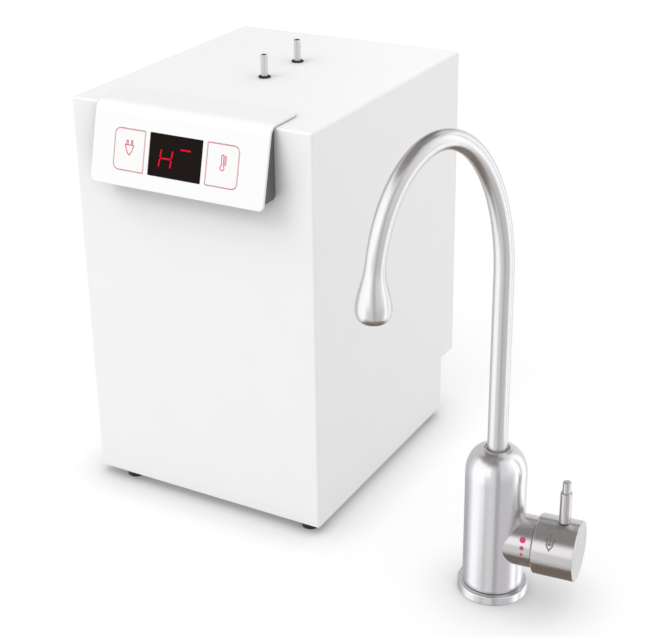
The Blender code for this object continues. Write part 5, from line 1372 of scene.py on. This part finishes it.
# %% Cap and gland
CAP_LENGTH, CAP_FLOOR, CAP_BORE, CAP_RADIUS = 0.014, 0.002, 0.0051, 0.0085
RIBS, RIB_DEPTH = 24, 0.0005
GLAND_X, GLAND_Z = 0.072, 0.036
GLAND_BORE, GLAND_NECK, GLAND_NUT, GLAND_NUT_LENGTH = 0.0036, 0.008, 0.009, 0.008
GLAND_FLANGE, GLAND_FLANGE_TOP = 0.011, 0.0028
GLAND_NOSE, GLAND_NOSE_END, GLAND_TOP = 0.0066, 0.0062, 0.0103


def ribbed(made, radius, depth, ribs):
    """Pushes the wall of a turned shape in and out round its axis."""
    for vertex in made.verts:
        away = math.hypot(vertex.co.x, vertex.co.y)
        if away > radius - 0.0001:
            angle = math.atan2(vertex.co.y, vertex.co.x)
            scale = 1 - depth / radius * (0.5 + 0.5 * math.cos(angle * ribs))
            vertex.co.x *= scale
            vertex.co.y *= scale
    return facing_out(made)


def drain_cap():
    under = CAP_LENGTH - CAP_FLOOR
    shape = lathe([
        (0, CAP_LENGTH), (0, under), (CAP_BORE, under), (CAP_BORE, 0), (CAP_RADIUS, 0, 0.0006),
        (CAP_RADIUS, CAP_LENGTH, 0.0012),
    ], 4, 144)
    return ribbed(shape, CAP_RADIUS, RIB_DEPTH, RIBS)


def gland():
    inner = -SHEET - CLEARANCE
    end = inner - GLAND_NUT_LENGTH
    return lathe([
        (GLAND_BORE, end), (GLAND_NECK, end, 0.001), (GLAND_NUT, inner), (GLAND_NECK, inner),
        (GLAND_NECK, CLEARANCE), (GLAND_FLANGE, CLEARANCE),
        (GLAND_FLANGE, GLAND_FLANGE_TOP, 0.001), (GLAND_NOSE, GLAND_FLANGE_TOP, 0.0005),
        (GLAND_NOSE_END, GLAND_TOP, 0.0008), (GLAND_BORE, GLAND_TOP, 0.0004),
    ], 4, 64)


cap_low, cap_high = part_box("drain_cap")
cap_middle = (cap_low + cap_high) / 2
cap_place = shift(cap_middle.x, cap_low.y, cap_middle.z) @ TO_REAR
piece("drain_cap_skin", drain_cap(), rubber, cap_place, stands_for=["drain_cap"])
gland_place = HEATER @ shift(GLAND_X, RECESS, GLAND_Z) @ TO_REAR
piece("gland_skin", gland(), rubber, gland_place, stands_for=["cord_gland"])
print("drain cap at", tuple(round(v, 3) for v in cap_place.translation))

# %% [markdown]
# ## The faucet's foot and body
# The body is a turned cylinder with a round shoulder, on a round foot with small radii. The collar
# for the valve comes out of its side, and the two meet in a clean saddle line. They are welded in
# one solid, but here they are two skins: each has its own axis, so that the turning lines run
# round each as they do on the real thing. The collar is carved by the body, so that it ends exactly
# on it.

# %% Foot, body and collar
BODY_RADIUS, BODY_SHOULDER, BODY_TOP = 0.0255, 0.112, 0.1345
SPOUT_FOOT_RADIUS, BUSH_WALL, BUSH_DEPTH = 0.0083, 0.0016, 0.012
MOUTH = SPOUT_FOOT_RADIUS + BUSH_WALL + 2 * CLEARANCE
COLLAR_RADIUS, COLLAR_START, COLLAR_END = 0.0217, 0.008, 0.0366
POCKET_RADIUS, POCKET_FLOOR, POCKET_END = 0.0175, 0.009, 0.05
SPIGOT_DEPTH = 0.036
FLANGE_BORE, FLANGE_RADIUS, FLANGE_HEIGHT = 0.0185, 0.0296, 0.008
RISER_RADIUS, RISER_TOP = 0.0203, 0.012
BODY_BOTTOM, WELL_RADIUS, WELL_TOP = 0.0083, 0.0206, 0.0213
ROUND_STEPS = 128


def foot_flange():
    return lathe([
        (FLANGE_BORE, 0), (FLANGE_RADIUS, 0, 0.0007), (FLANGE_RADIUS, FLANGE_HEIGHT, 0.0012),
        (RISER_RADIUS, FLANGE_HEIGHT), (RISER_RADIUS, RISER_TOP), (FLANGE_BORE, RISER_TOP),
    ], 6, ROUND_STEPS)


def body_profile():
    bore, angles = SPOUT_FOOT_RADIUS + CLEARANCE, spaced(0, RIGHT_ANGLE, 28)
    wide, tall = BODY_RADIUS - MOUTH, BODY_TOP - BODY_SHOULDER
    well = (WELL_RADIUS, BODY_BOTTOM)
    rounded = filleted([well, (BODY_RADIUS, BODY_BOTTOM, 0.0005), (BODY_RADIUS, 0.02)], 4)
    bush_floor, floor = BODY_TOP - BUSH_DEPTH, BODY_TOP - SPIGOT_DEPTH - CLEARANCE
    return [
        (0, WELL_TOP), (WELL_RADIUS, WELL_TOP), well, *rounded[1:-1],
        *((MOUTH + wide * math.cos(a), BODY_SHOULDER + tall * math.sin(a)) for a in angles),
        (MOUTH, bush_floor), (bore, bush_floor), (bore, floor), (0, floor),
    ]


def body():
    pocket = rod(POCKET_RADIUS, POCKET_FLOOR, POCKET_END, 64)
    return carved(
        turned(body_profile(), ROUND_STEPS), moved(pocket, shift(0, 0, KNOB_Z) @ TO_SIDE)
    )


def collar():
    tube = lathe([
        (POCKET_RADIUS, COLLAR_START), (COLLAR_RADIUS, COLLAR_START),
        (COLLAR_RADIUS, COLLAR_END, 0.0005), (POCKET_RADIUS, COLLAR_END, 0.0003),
    ], 4, ROUND_STEPS)
    return carved(tube, moved(rod(BODY_RADIUS, -0.06, 0.06, ROUND_STEPS), TO_SIDE))


piece("foot_flange_skin", foot_flange(), turned_steel, FAUCET, stands_for=["base_flange"])
piece("body_skin", body(), turned_steel, FAUCET, stands_for=["faucet_body"])
piece("collar_skin", collar(), shaded_valve_steel, VALVE, stands_for=["faucet_body"])
print("collar ends", COLLAR_END, "m from the body's axis")

# %% [markdown]
# ## Knob and lever pin
# The knob is a hollow turned cap on the valve's spindle, with a bright chamfer towards the collar
# and a flat end face. A stepped pin stands on it as a lever. Plain cylinders would have no chamfer,
# no cavity and no soft rims, so both are outlines spun about their own axes. Both ride on the
# knob's body, so they turn together.

# %% Knob and pin
KNOB_RADIUS, KNOB_LENGTH, KNOB_GAP = 0.0253, 0.0350, 0.0008
KNOB_START = COLLAR_END + KNOB_GAP
KNOB_FINISH = KNOB_START + KNOB_LENGTH
KNOB_FACE, KNOB_WALL, CHAMFER = 0.0055, 0.0048, 0.0012
HUB_RADIUS, HUB_LENGTH, SOCKET_RADIUS, SOCKET_DEPTH = 0.008, 0.024, 0.0045, 0.0103
PIN_X = KNOB_START + 0.618 * KNOB_LENGTH
PIN_RADIUS, PIN_HEIGHT, TIP_RADIUS, TIP_HEIGHT = 0.00485, 0.0275, 0.0035, 0.0098
TENON_RADIUS, TENON_LENGTH, TENON_HOLE = 0.0026, 0.004, 0.0029


def knob():
    floor, cavity = KNOB_FINISH - KNOB_FACE, KNOB_RADIUS - KNOB_WALL
    hub = floor - HUB_LENGTH
    bottom = hub + SOCKET_DEPTH
    shape = lathe([
        (0, KNOB_FINISH), (0, bottom), (SOCKET_RADIUS, bottom), (SOCKET_RADIUS, hub),
        (HUB_RADIUS, hub, 0.0004), (HUB_RADIUS, floor), (cavity, floor), (cavity, KNOB_START),
        (KNOB_RADIUS - CHAMFER, KNOB_START), (KNOB_RADIUS, KNOB_START + CHAMFER, 0.0003),
        (KNOB_RADIUS, KNOB_FINISH, 0.0006),
    ], 5, ROUND_STEPS)
    hole = rod(TENON_HOLE, cavity - OVER, KNOB_RADIUS + OVER, 32)
    return carved(shape, moved(hole, shift(0, 0, PIN_X) @ Matrix.Rotation(-RIGHT_ANGLE, 4, "Y")))


def lever_pin():
    seat = KNOB_RADIUS + CLEARANCE
    root, shoulder = seat - TENON_LENGTH, seat + PIN_HEIGHT
    tip = shoulder + TIP_HEIGHT
    return lathe([
        (0, root), (TENON_RADIUS, root), (TENON_RADIUS, seat), (PIN_RADIUS, seat),
        (PIN_RADIUS, shoulder, 0.0005), (TIP_RADIUS, shoulder), (TIP_RADIUS, tip, 0.0005), (0, tip),
    ], 5, 64)


piece("knob_skin", knob(), shaded_valve_steel, VALVE, "knob", stands_for=["valve_knob"])
pin_place = FAUCET @ shift(PIN_X, 0, KNOB_Z)
piece("lever_pin_skin", lever_pin(), shaded_valve_steel, pin_place, "knob", stands_for=["lever_pin"])
print("pin stands", round(PIN_X, 4), "m out on the knob")

# %% [markdown]
# ## Marks on round walls
# Three magenta dots on the collar show the heat, and a small arrow is etched on the knob. They are
# drawn flat, given their ink's thickness, and wrapped: the across value becomes a place along the
# axis, the up value an angle, and the height adds to the radius. Wrapping keeps them on the metal
# at every point, which a flat decal wouldn't.

# %% Dots and arrow
DOT_ANGLES = (32, 14, -1)
DOT_RADII = (0.0026, 0.0018, 0.00125)
DOT_X = 0.0294
ARROW_X, ARROW_ANGLE, ARROW_STROKE = 0.0523, 38, 0.0011
PRONG = ((0.0030, 0.0022), (0.0028, 0.0002), (0.0020, -0.0012), (0.0010, -0.0019), (0, -0.0021))
BARB = ((0.0042, 0.0012), (0.0036, 0.0022), (0.0030, 0.0028), (0.0022, 0.0020))
TOP_POINT = ((-0.0009, 0.0050), (0, 0.0066), (0.0009, 0.0050))
LOW_POINT = (
    (-0.0030, -0.0018), (-0.0015, -0.0042), (0, -0.0064), (0.0015, -0.0042), (0.0030, -0.0018),
)


def wrapped(made, radius, along, up_degrees):
    """Bends a flat drawing round the valve's axis."""
    for vertex in made.verts:
        angle = math.radians(up_degrees) + vertex.co.y / radius
        away = radius + vertex.co.z
        vertex.co = (-away * math.sin(angle), -away * math.cos(angle), along + vertex.co.x)
    return facing_out(made)


def disc(radius, rings=5, steps=32):
    made = bmesh.new()
    sizes = spaced(0, radius, rings)[1:]
    rows = [ring_of(made, circle((0, 0), size, steps), 0) for size in sizes]
    walls(made, rows)
    made.faces.new(rows[0])
    return raised(made)


def arrow_drawing():
    """A fork with three barbed prongs over a point that looks down, in strokes of a millimetre."""
    made = bmesh.new()
    stem = [(0, 0.0062 - step * 0.0010) for step in range(10)]
    sides = [[(side * x, y) for x, y in line] for line in (PRONG, BARB) for side in (-1, 1)]
    for line in (stem, *sides, TOP_POINT, LOW_POINT):
        draw_stroke(made, line, ARROW_STROKE)
    return raised(made, 2 * INK)


for index, (angle, radius) in enumerate(zip(DOT_ANGLES, DOT_RADII)):
    dot = wrapped(disc(radius), COLLAR_RADIUS, DOT_X, angle)
    piece(f"heat_dot_{index + 1}", dot, magenta_ink, VALVE)
arrow = wrapped(arrow_drawing(), KNOB_RADIUS, ARROW_X, ARROW_ANGLE)
piece("knob_arrow", arrow, etched_mark, VALVE, "knob")
print("dots:", len(DOT_RADII), "arrow at", ARROW_ANGLE, "degrees above the front")

# %% [markdown]
# ## The swan neck
# The spout rises straight, goes over in an arch that comes down less far than it went up, and
# widens to a drop at the outlet. A curve object with a bevel can't change its radius smoothly
# enough at the drop, so rings are placed along the line: the radius tapers slowly, swells with a
# smooth step, and closes on a quarter ellipse. The inner wall comes back the same way, so the
# outlet is open.

# %% Spout
SPOUT_NECK_RADIUS, SPOUT_WALL = 0.0079, 0.0014
ARCH_BASE, ARCH_HALF, ARCH_RISE, ARCH_FALL = 0.288, 0.061, 0.121, 0.108
OUTLET_DROP, FLARE_LENGTH, BULB_RADIUS, BULB_HEIGHT = 0.0205, 0.044, 0.0141, 0.0095
MOUTH_RADIUS, THROAT_RADIUS, THROAT_DEPTH, THROAT_EDGE = 0.0082, 0.0065, 0.010, 0.0003
SPIGOT_GROOVE, RING_HALF, RING_LOW, RING_PITCH = 0.0017, 0.0012, 0.006, 0.009
RISE_STEPS, ARCH_STEPS, BULB_STEPS = 8, 96, 14


def spout_line():
    """The centre line from the body's mouth to the outlet, in the spout's own plane."""
    line = [Vector((0, 0, height)) for height in spaced(BODY_TOP, ARCH_BASE, RISE_STEPS)[:-1]]
    crown = ARCH_BASE + ARCH_RISE
    for angle in spaced(0, math.pi, ARCH_STEPS):
        sag = (ARCH_RISE if angle <= RIGHT_ANGLE else ARCH_FALL) * (1 - math.sin(angle))
        line.append(Vector((ARCH_HALF * (1 - math.cos(angle)), 0, crown - sag)))
    last, bulb = line[-1], OUTLET_DROP - BULB_HEIGHT
    falls = spaced(0, bulb, BULB_STEPS)[1:]
    angles = spaced(0, RIGHT_ANGLE, BULB_STEPS)[1:]
    falls += [bulb + BULB_HEIGHT * math.sin(angle) for angle in angles]
    return line + [last - Vector((0, 0, fall)) for fall in falls]


def outer_radius(from_body, from_outlet, whole):
    if from_outlet < BULB_HEIGHT:
        rise = from_outlet / BULB_HEIGHT
        swell = math.sqrt(max(0, 1 - (1 - rise) ** 2))
        return MOUTH_RADIUS + (BULB_RADIUS - MOUTH_RADIUS) * swell
    taper = min(from_body / (whole - FLARE_LENGTH), 1)
    plain = SPOUT_FOOT_RADIUS + (SPOUT_NECK_RADIUS - SPOUT_FOOT_RADIUS) * taper
    if from_outlet < FLARE_LENGTH:
        u = (FLARE_LENGTH - from_outlet) / (FLARE_LENGTH - BULB_HEIGHT)
        return plain + (BULB_RADIUS - plain) * u * u * (3 - 2 * u)
    return plain


def spigot_stations(foot):
    """Rings of the straight end inside the body, with its two seal grooves."""
    deep = SPOUT_FOOT_RADIUS - SPIGOT_GROOVE
    rings = [(foot, deep - SPOUT_WALL), (foot, SPOUT_FOOT_RADIUS)]
    for index in range(2):
        middle = foot + RING_LOW + index * RING_PITCH
        low, high = middle - RING_HALF, middle + RING_HALF
        rings += [(low, SPOUT_FOOT_RADIUS), (low, deep), (high, deep), (high, SPOUT_FOOT_RADIUS)]
    return [(Vector((0, 0, height)), Vector((0, 0, 1)), radius) for height, radius in rings]


def spout_skin():
    line = spout_line()
    lengths = [0]
    for before, after in zip(line, line[1:]):
        lengths.append(lengths[-1] + (after - before).length)
    whole = lengths[-1]
    radii = [outer_radius(at, whole - at, whole) for at in lengths]
    outside = stations_along(line, radii)
    outlet, down = line[-1], Vector((0, 0, -1))
    bore = SPOUT_FOOT_RADIUS - SPIGOT_GROOVE - SPOUT_WALL
    throat = [
        (outlet, down, THROAT_RADIUS + THROAT_EDGE),
        (outlet - down * THROAT_EDGE, down, THROAT_RADIUS),
        (outlet - down * THROAT_DEPTH, down, THROAT_RADIUS),
        (outlet - down * THROAT_DEPTH, down, bore),
    ]
    inner = [
        (point, way, bore) for point, way, _ in reversed(outside[::4])
        if point.z > outlet.z + FLARE_LENGTH or point.x < ARCH_HALF
    ]
    return swept(spigot_stations(BODY_TOP - SPIGOT_DEPTH) + outside + throat + inner, 64)


piece("spout_skin", spout_skin(), satin_steel, SPOUT, "spout", stands_for=["spout_tube"])
print("outlet at", tuple(round(v, 4) for v in SPOUT @ spout_line()[-1]))

# %% [markdown]
# ## Bush and outlet nozzle
# A grey bush fills the small gap between the spout and the body, and shows as the thin dark line at
# the spout's foot. The outlet holds a nozzle plate with seven holes, which is seen from below. The
# plate is a stack with holes in it, so the holes are open and their rims can be round.

# %% Bush and nozzle
NOZZLE_RADIUS, NOZZLE_LENGTH, NOZZLE_RECESS = 0.0062, 0.0085, 0.0006
HOLE_RADIUS, HOLE_CIRCLE = 0.0009, 0.0036
NOZZLE_EDGE, HOLE_EDGE, BUSH_SINK, BUSH_EDGE = 0.0003, 0.7, 0.0004, 0.0003


def bush():
    bore = SPOUT_FOOT_RADIUS + CLEARANCE
    wall = bore + BUSH_WALL
    low, high = BODY_TOP - BUSH_DEPTH + CLEARANCE, BODY_TOP - BUSH_SINK
    outline = [(bore, low), (wall, low), (wall, high, BUSH_EDGE), (bore, high, BUSH_EDGE)]
    return lathe(outline, 3, 96)


def nozzle():
    def outlines(inset):
        holes = [(0, 0)] + circle((0, 0), HOLE_CIRCLE, 6)
        border = circle((0, 0), NOZZLE_RADIUS - inset, 64)
        return [border] + [circle(hole, HOLE_RADIUS + inset * HOLE_EDGE, 24) for hole in holes]

    start = spout_line()[-1].z + NOZZLE_RECESS
    levels = [(start + NOZZLE_LENGTH, 0), (start + NOZZLE_EDGE, 0), (start, NOZZLE_EDGE)]
    return stacked(levels, outlines)


piece("bush_skin", bush(), grey_moulding, SPOUT, stands_for=["swivel_bush"])
outlet_axis = SPOUT @ shift(spout_line()[-1].x, 0, 0)
piece("nozzle_skin", nozzle(), dark_moulding, outlet_axis, "spout", stands_for=["outlet_nozzle"])
print("nozzle recess:", NOZZLE_RECESS)

# %% [markdown]
# ## Floor
# The photograph is white all round with soft grey shadows close to the object. A white floor alone
# turns grey where less light falls, and more light would burn out the white cabinet. So the floor
# is a plain white disc that also sends out a little light of its own, but only to rays from the
# camera and through glass: it looks white, and it still keeps the shadow. Where a corner is shut
# in, that little light would wash the shadow out, so the floor's white colour and that light both
# fade with the room that the ambient occlusion node finds over a point, within five centimetres
# and within one. That darkening is a painted contact shadow.

# %% Floor
FLOOR_RADIUS = 9.0
FLOOR_LIFT, FLOOR_WHITE = 0.29, 0.88
# Reach and weight pairs of the floor's painted contact shadow.
PAINTED_CONTACT_SHADOW = ((0.05, 0.42), (0.012, 0.15))


def seen_rays(tree):
    """One for camera, glossy and transmission rays, zero for the rest."""
    rays = add_node(tree, "LightPath").outputs
    some = calc(tree, "MAXIMUM", rays["Is Camera Ray"], rays["Is Glossy Ray"])
    return calc(tree, "MAXIMUM", some, rays["Is Transmission Ray"])


def grey_of(tree, value):
    sockets = {"Red": value, "Green": value, "Blue": value}
    return add_node(tree, "CombineColor", sockets).outputs[0]


def floor_white_and_painted_shadow():
    material, tree, shader = open_material(
        "floor white and painted shadow", Roughness=0.9, Specular_IOR_Level=0.0, Emission_Strength=1.0
    )
    # Painted contact shadow: the floor's colour and its own light are darkened near the object.
    room = openness(tree, PAINTED_CONTACT_SHADOW)
    lift = calc(tree, "MULTIPLY", seen_rays(tree), FLOOR_LIFT)
    feed(
        tree, shader, Base_Color=grey_of(tree, calc(tree, "MULTIPLY", room, FLOOR_WHITE)),
        Emission_Color=grey_of(tree, calc(tree, "MULTIPLY", room, lift)),
    )
    return material


def on_stage(name, made, finish):
    """An object of the set round the dispenser, and no piece of it."""
    mesh = mesh_of(made, name)
    mesh.materials.append(finish)
    obj = add_object(name, mesh)
    obj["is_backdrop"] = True
    return obj


def floor():
    made = bmesh.new()
    bmesh.ops.create_circle(made, cap_ends=True, radius=FLOOR_RADIUS, segments=96)
    return on_stage("floor", made, floor_white_and_painted_shadow())


ground = floor()
print("floor of", FLOOR_RADIUS, "m, lift", FLOOR_LIFT)

# %% [markdown]
# ## Light
# The world is white to the camera and in reflections, and a little darker as a lamp. A broad sun
# from the upper left gives the soft shadow under the hood, and a weaker one fills the right side.
# They are kept weak, so that the white cabinet renders about as bright as it is written. Light
# linking keeps them off the floor, where the photograph has no long shadow to one side.

# %% World and lamps
WORLD_LIGHT = 0.86
SUN_DISTANCE = 3
SUNS = {"sun": ((-0.45, -0.62, 0.80), 0.95, 40), "right fill": ((0.9, -0.25, 0.35), 0.27, 90)}


def make_world():
    world = bpy.data.worlds.new("studio")
    world.use_nodes = True
    tree = world.node_tree
    tree.nodes.clear()
    level = spread_about(tree, (1 + WORLD_LIGHT) / 2, 1 - WORLD_LIGHT, seen_rays(tree))
    back = add_node(tree, "Background", {"Color": (1, 1, 1, 1), "Strength": level})
    leave = add_node(tree, "OutputWorld")
    tree.links.new(back.outputs[0], leave.inputs["Surface"])
    return world


def add_sun(name, direction, strength, degrees):
    data = bpy.data.lights.new(name, "SUN")
    data.energy = strength
    data.angle = math.radians(degrees)
    place = Vector(direction) * SUN_DISTANCE
    turn = place.to_track_quat("Z", "Y").to_matrix().to_4x4()
    lamp = add_object(name, data, Matrix.Translation(place) @ turn)
    lamp.visible_glossy = False
    lamp.light_linking.receiver_collection = sunless


bpy.context.scene.world = make_world()
sunless = bpy.data.collections.new("not lit by the suns")
sunless.objects.link(ground)
sunless.collection_objects[0].light_linking.link_state = "EXCLUDE"
for name, settings in SUNS.items():
    add_sun(name, *settings)
print("suns:", len(SUNS), "world as a lamp:", WORLD_LIGHT)

# %% [markdown]
# ## Cards for the metal
# Polished metal is only as good as what it reflects, and in an all-white room it looks like
# plaster. A photographer hangs white and black cards round it. Here each card is a patch of a large
# sphere round the faucet, given by the angles it covers as seen from there. Only reflections see
# it, so it throws no shadow and lights nothing dull. Turns are counted from the camera, to its
# right.

# %% Cards
CARD_DISTANCE, CARD_MIDDLE = 3.0, Vector((0, 0, 0.2))
CARD_STEP = 6
CARDS = {
    "left white card": ((-106, -72), (-46, 36), (1.56, 1.56, 1.57)),
    "left inner card": ((-72, -50), (-37, 36), (1.62, 1.62, 1.63)),
    "left low card": ((-72, -38), (-50, -37), (0.62, 0.60, 0.58)),
    "knob card": ((-50, -28), (-4, 29), (1.70, 1.70, 1.70)),
    "middle dark strip": ((-9, 6), (-46, 30), (0.52, 0.52, 0.54)),
    "right grey card": ((6, 52), (-46, -8), (0.80, 0.79, 0.81)),
    "crown card": ((40, 64), (4, 60), (1.30, 1.30, 1.30)),
    "right white card": ((64, 88), (-46, 50), (1.78, 1.77, 1.75)),
    "right dark strip": ((89, 94), (-46, 38), (0.30, 0.27, 0.25)),
    "far right white card": ((96, 124), (-46, 50), (1.60, 1.60, 1.60)),
    "rear left card": ((-180, -124), (-46, 30), (0.58, 0.57, 0.59)),
    "rear top card": ((150, 210), (32, 44), (0.20, 0.19, 0.18)),
    "rear upper card": ((172, 210), (44, 70), (0.18, 0.17, 0.16)),
    "top left card": ((-150, 6), (37, 88), (0.34, 0.31, 0.30)),
    "top right card": ((6, 210), (70, 88), (0.36, 0.34, 0.34)),
    "low card": ((-180, 180), (-88, -50), (0.26, 0.21, 0.17)),
}


def seen_from_faucet(turn, tilt):
    heading, rise = AZIMUTH - RIGHT_ANGLE + math.radians(turn), math.radians(tilt)
    flat = math.cos(rise)
    way = Vector((flat * math.cos(heading), flat * math.sin(heading), math.sin(rise)))
    return FAUCET.translation + CARD_MIDDLE + way * CARD_DISTANCE


def evenly(start, end):
    """Angles from start to end in even steps of about CARD_STEP degrees."""
    return spaced(start, end, max(int((end - start) / CARD_STEP), 1))


def add_card(name, turns, tilts, colour):
    made = bmesh.new()
    rows = [
        [made.verts.new(seen_from_faucet(turn, tilt)) for turn in evenly(*turns)]
        for tilt in evenly(*tilts)
    ]
    for lower, upper in zip(rows, rows[1:]):
        for i in range(len(lower) - 1):
            made.faces.new((lower[i], lower[i + 1], upper[i + 1], upper[i]))
    paper = open_material(
        name, Roughness=1.0, Base_Color=(0, 0, 0, 1), Specular_IOR_Level=0.0,
        Emission_Color=(*colour, 1), Emission_Strength=1.0,
    )[0]
    card = on_stage(name, made, paper)
    card.visible_camera = card.visible_diffuse = card.visible_shadow = False
    card.visible_transmission = card.visible_volume_scatter = False


for name, settings in CARDS.items():
    add_card(name.replace(" ", "_"), *settings)
ground.visible_glossy = False
print("cards:", len(CARDS))

# %% [markdown]
# ## Look settings
# The plain Standard view shows a colour about as it is written, which is what a catalogue picture
# of a white product needs. A filmic view would grey the whites.

# %% View
bpy.context.scene.view_settings.view_transform = "Standard"
print("pieces made:", len(pieces_made))

# %% [markdown]
# ## Sizes at the end
# The box round the skins is measured and printed, and paired with the imported model's box. The
# skins must keep to the imported model's box.

# %% Measure and finish
visual_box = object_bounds()


def plain(box):
    return [[float(value) for value in corner] for corner in box]


{"cad": plain(cad_box), "visual": plain(visual_box)}
print("visual box:", visual_box)
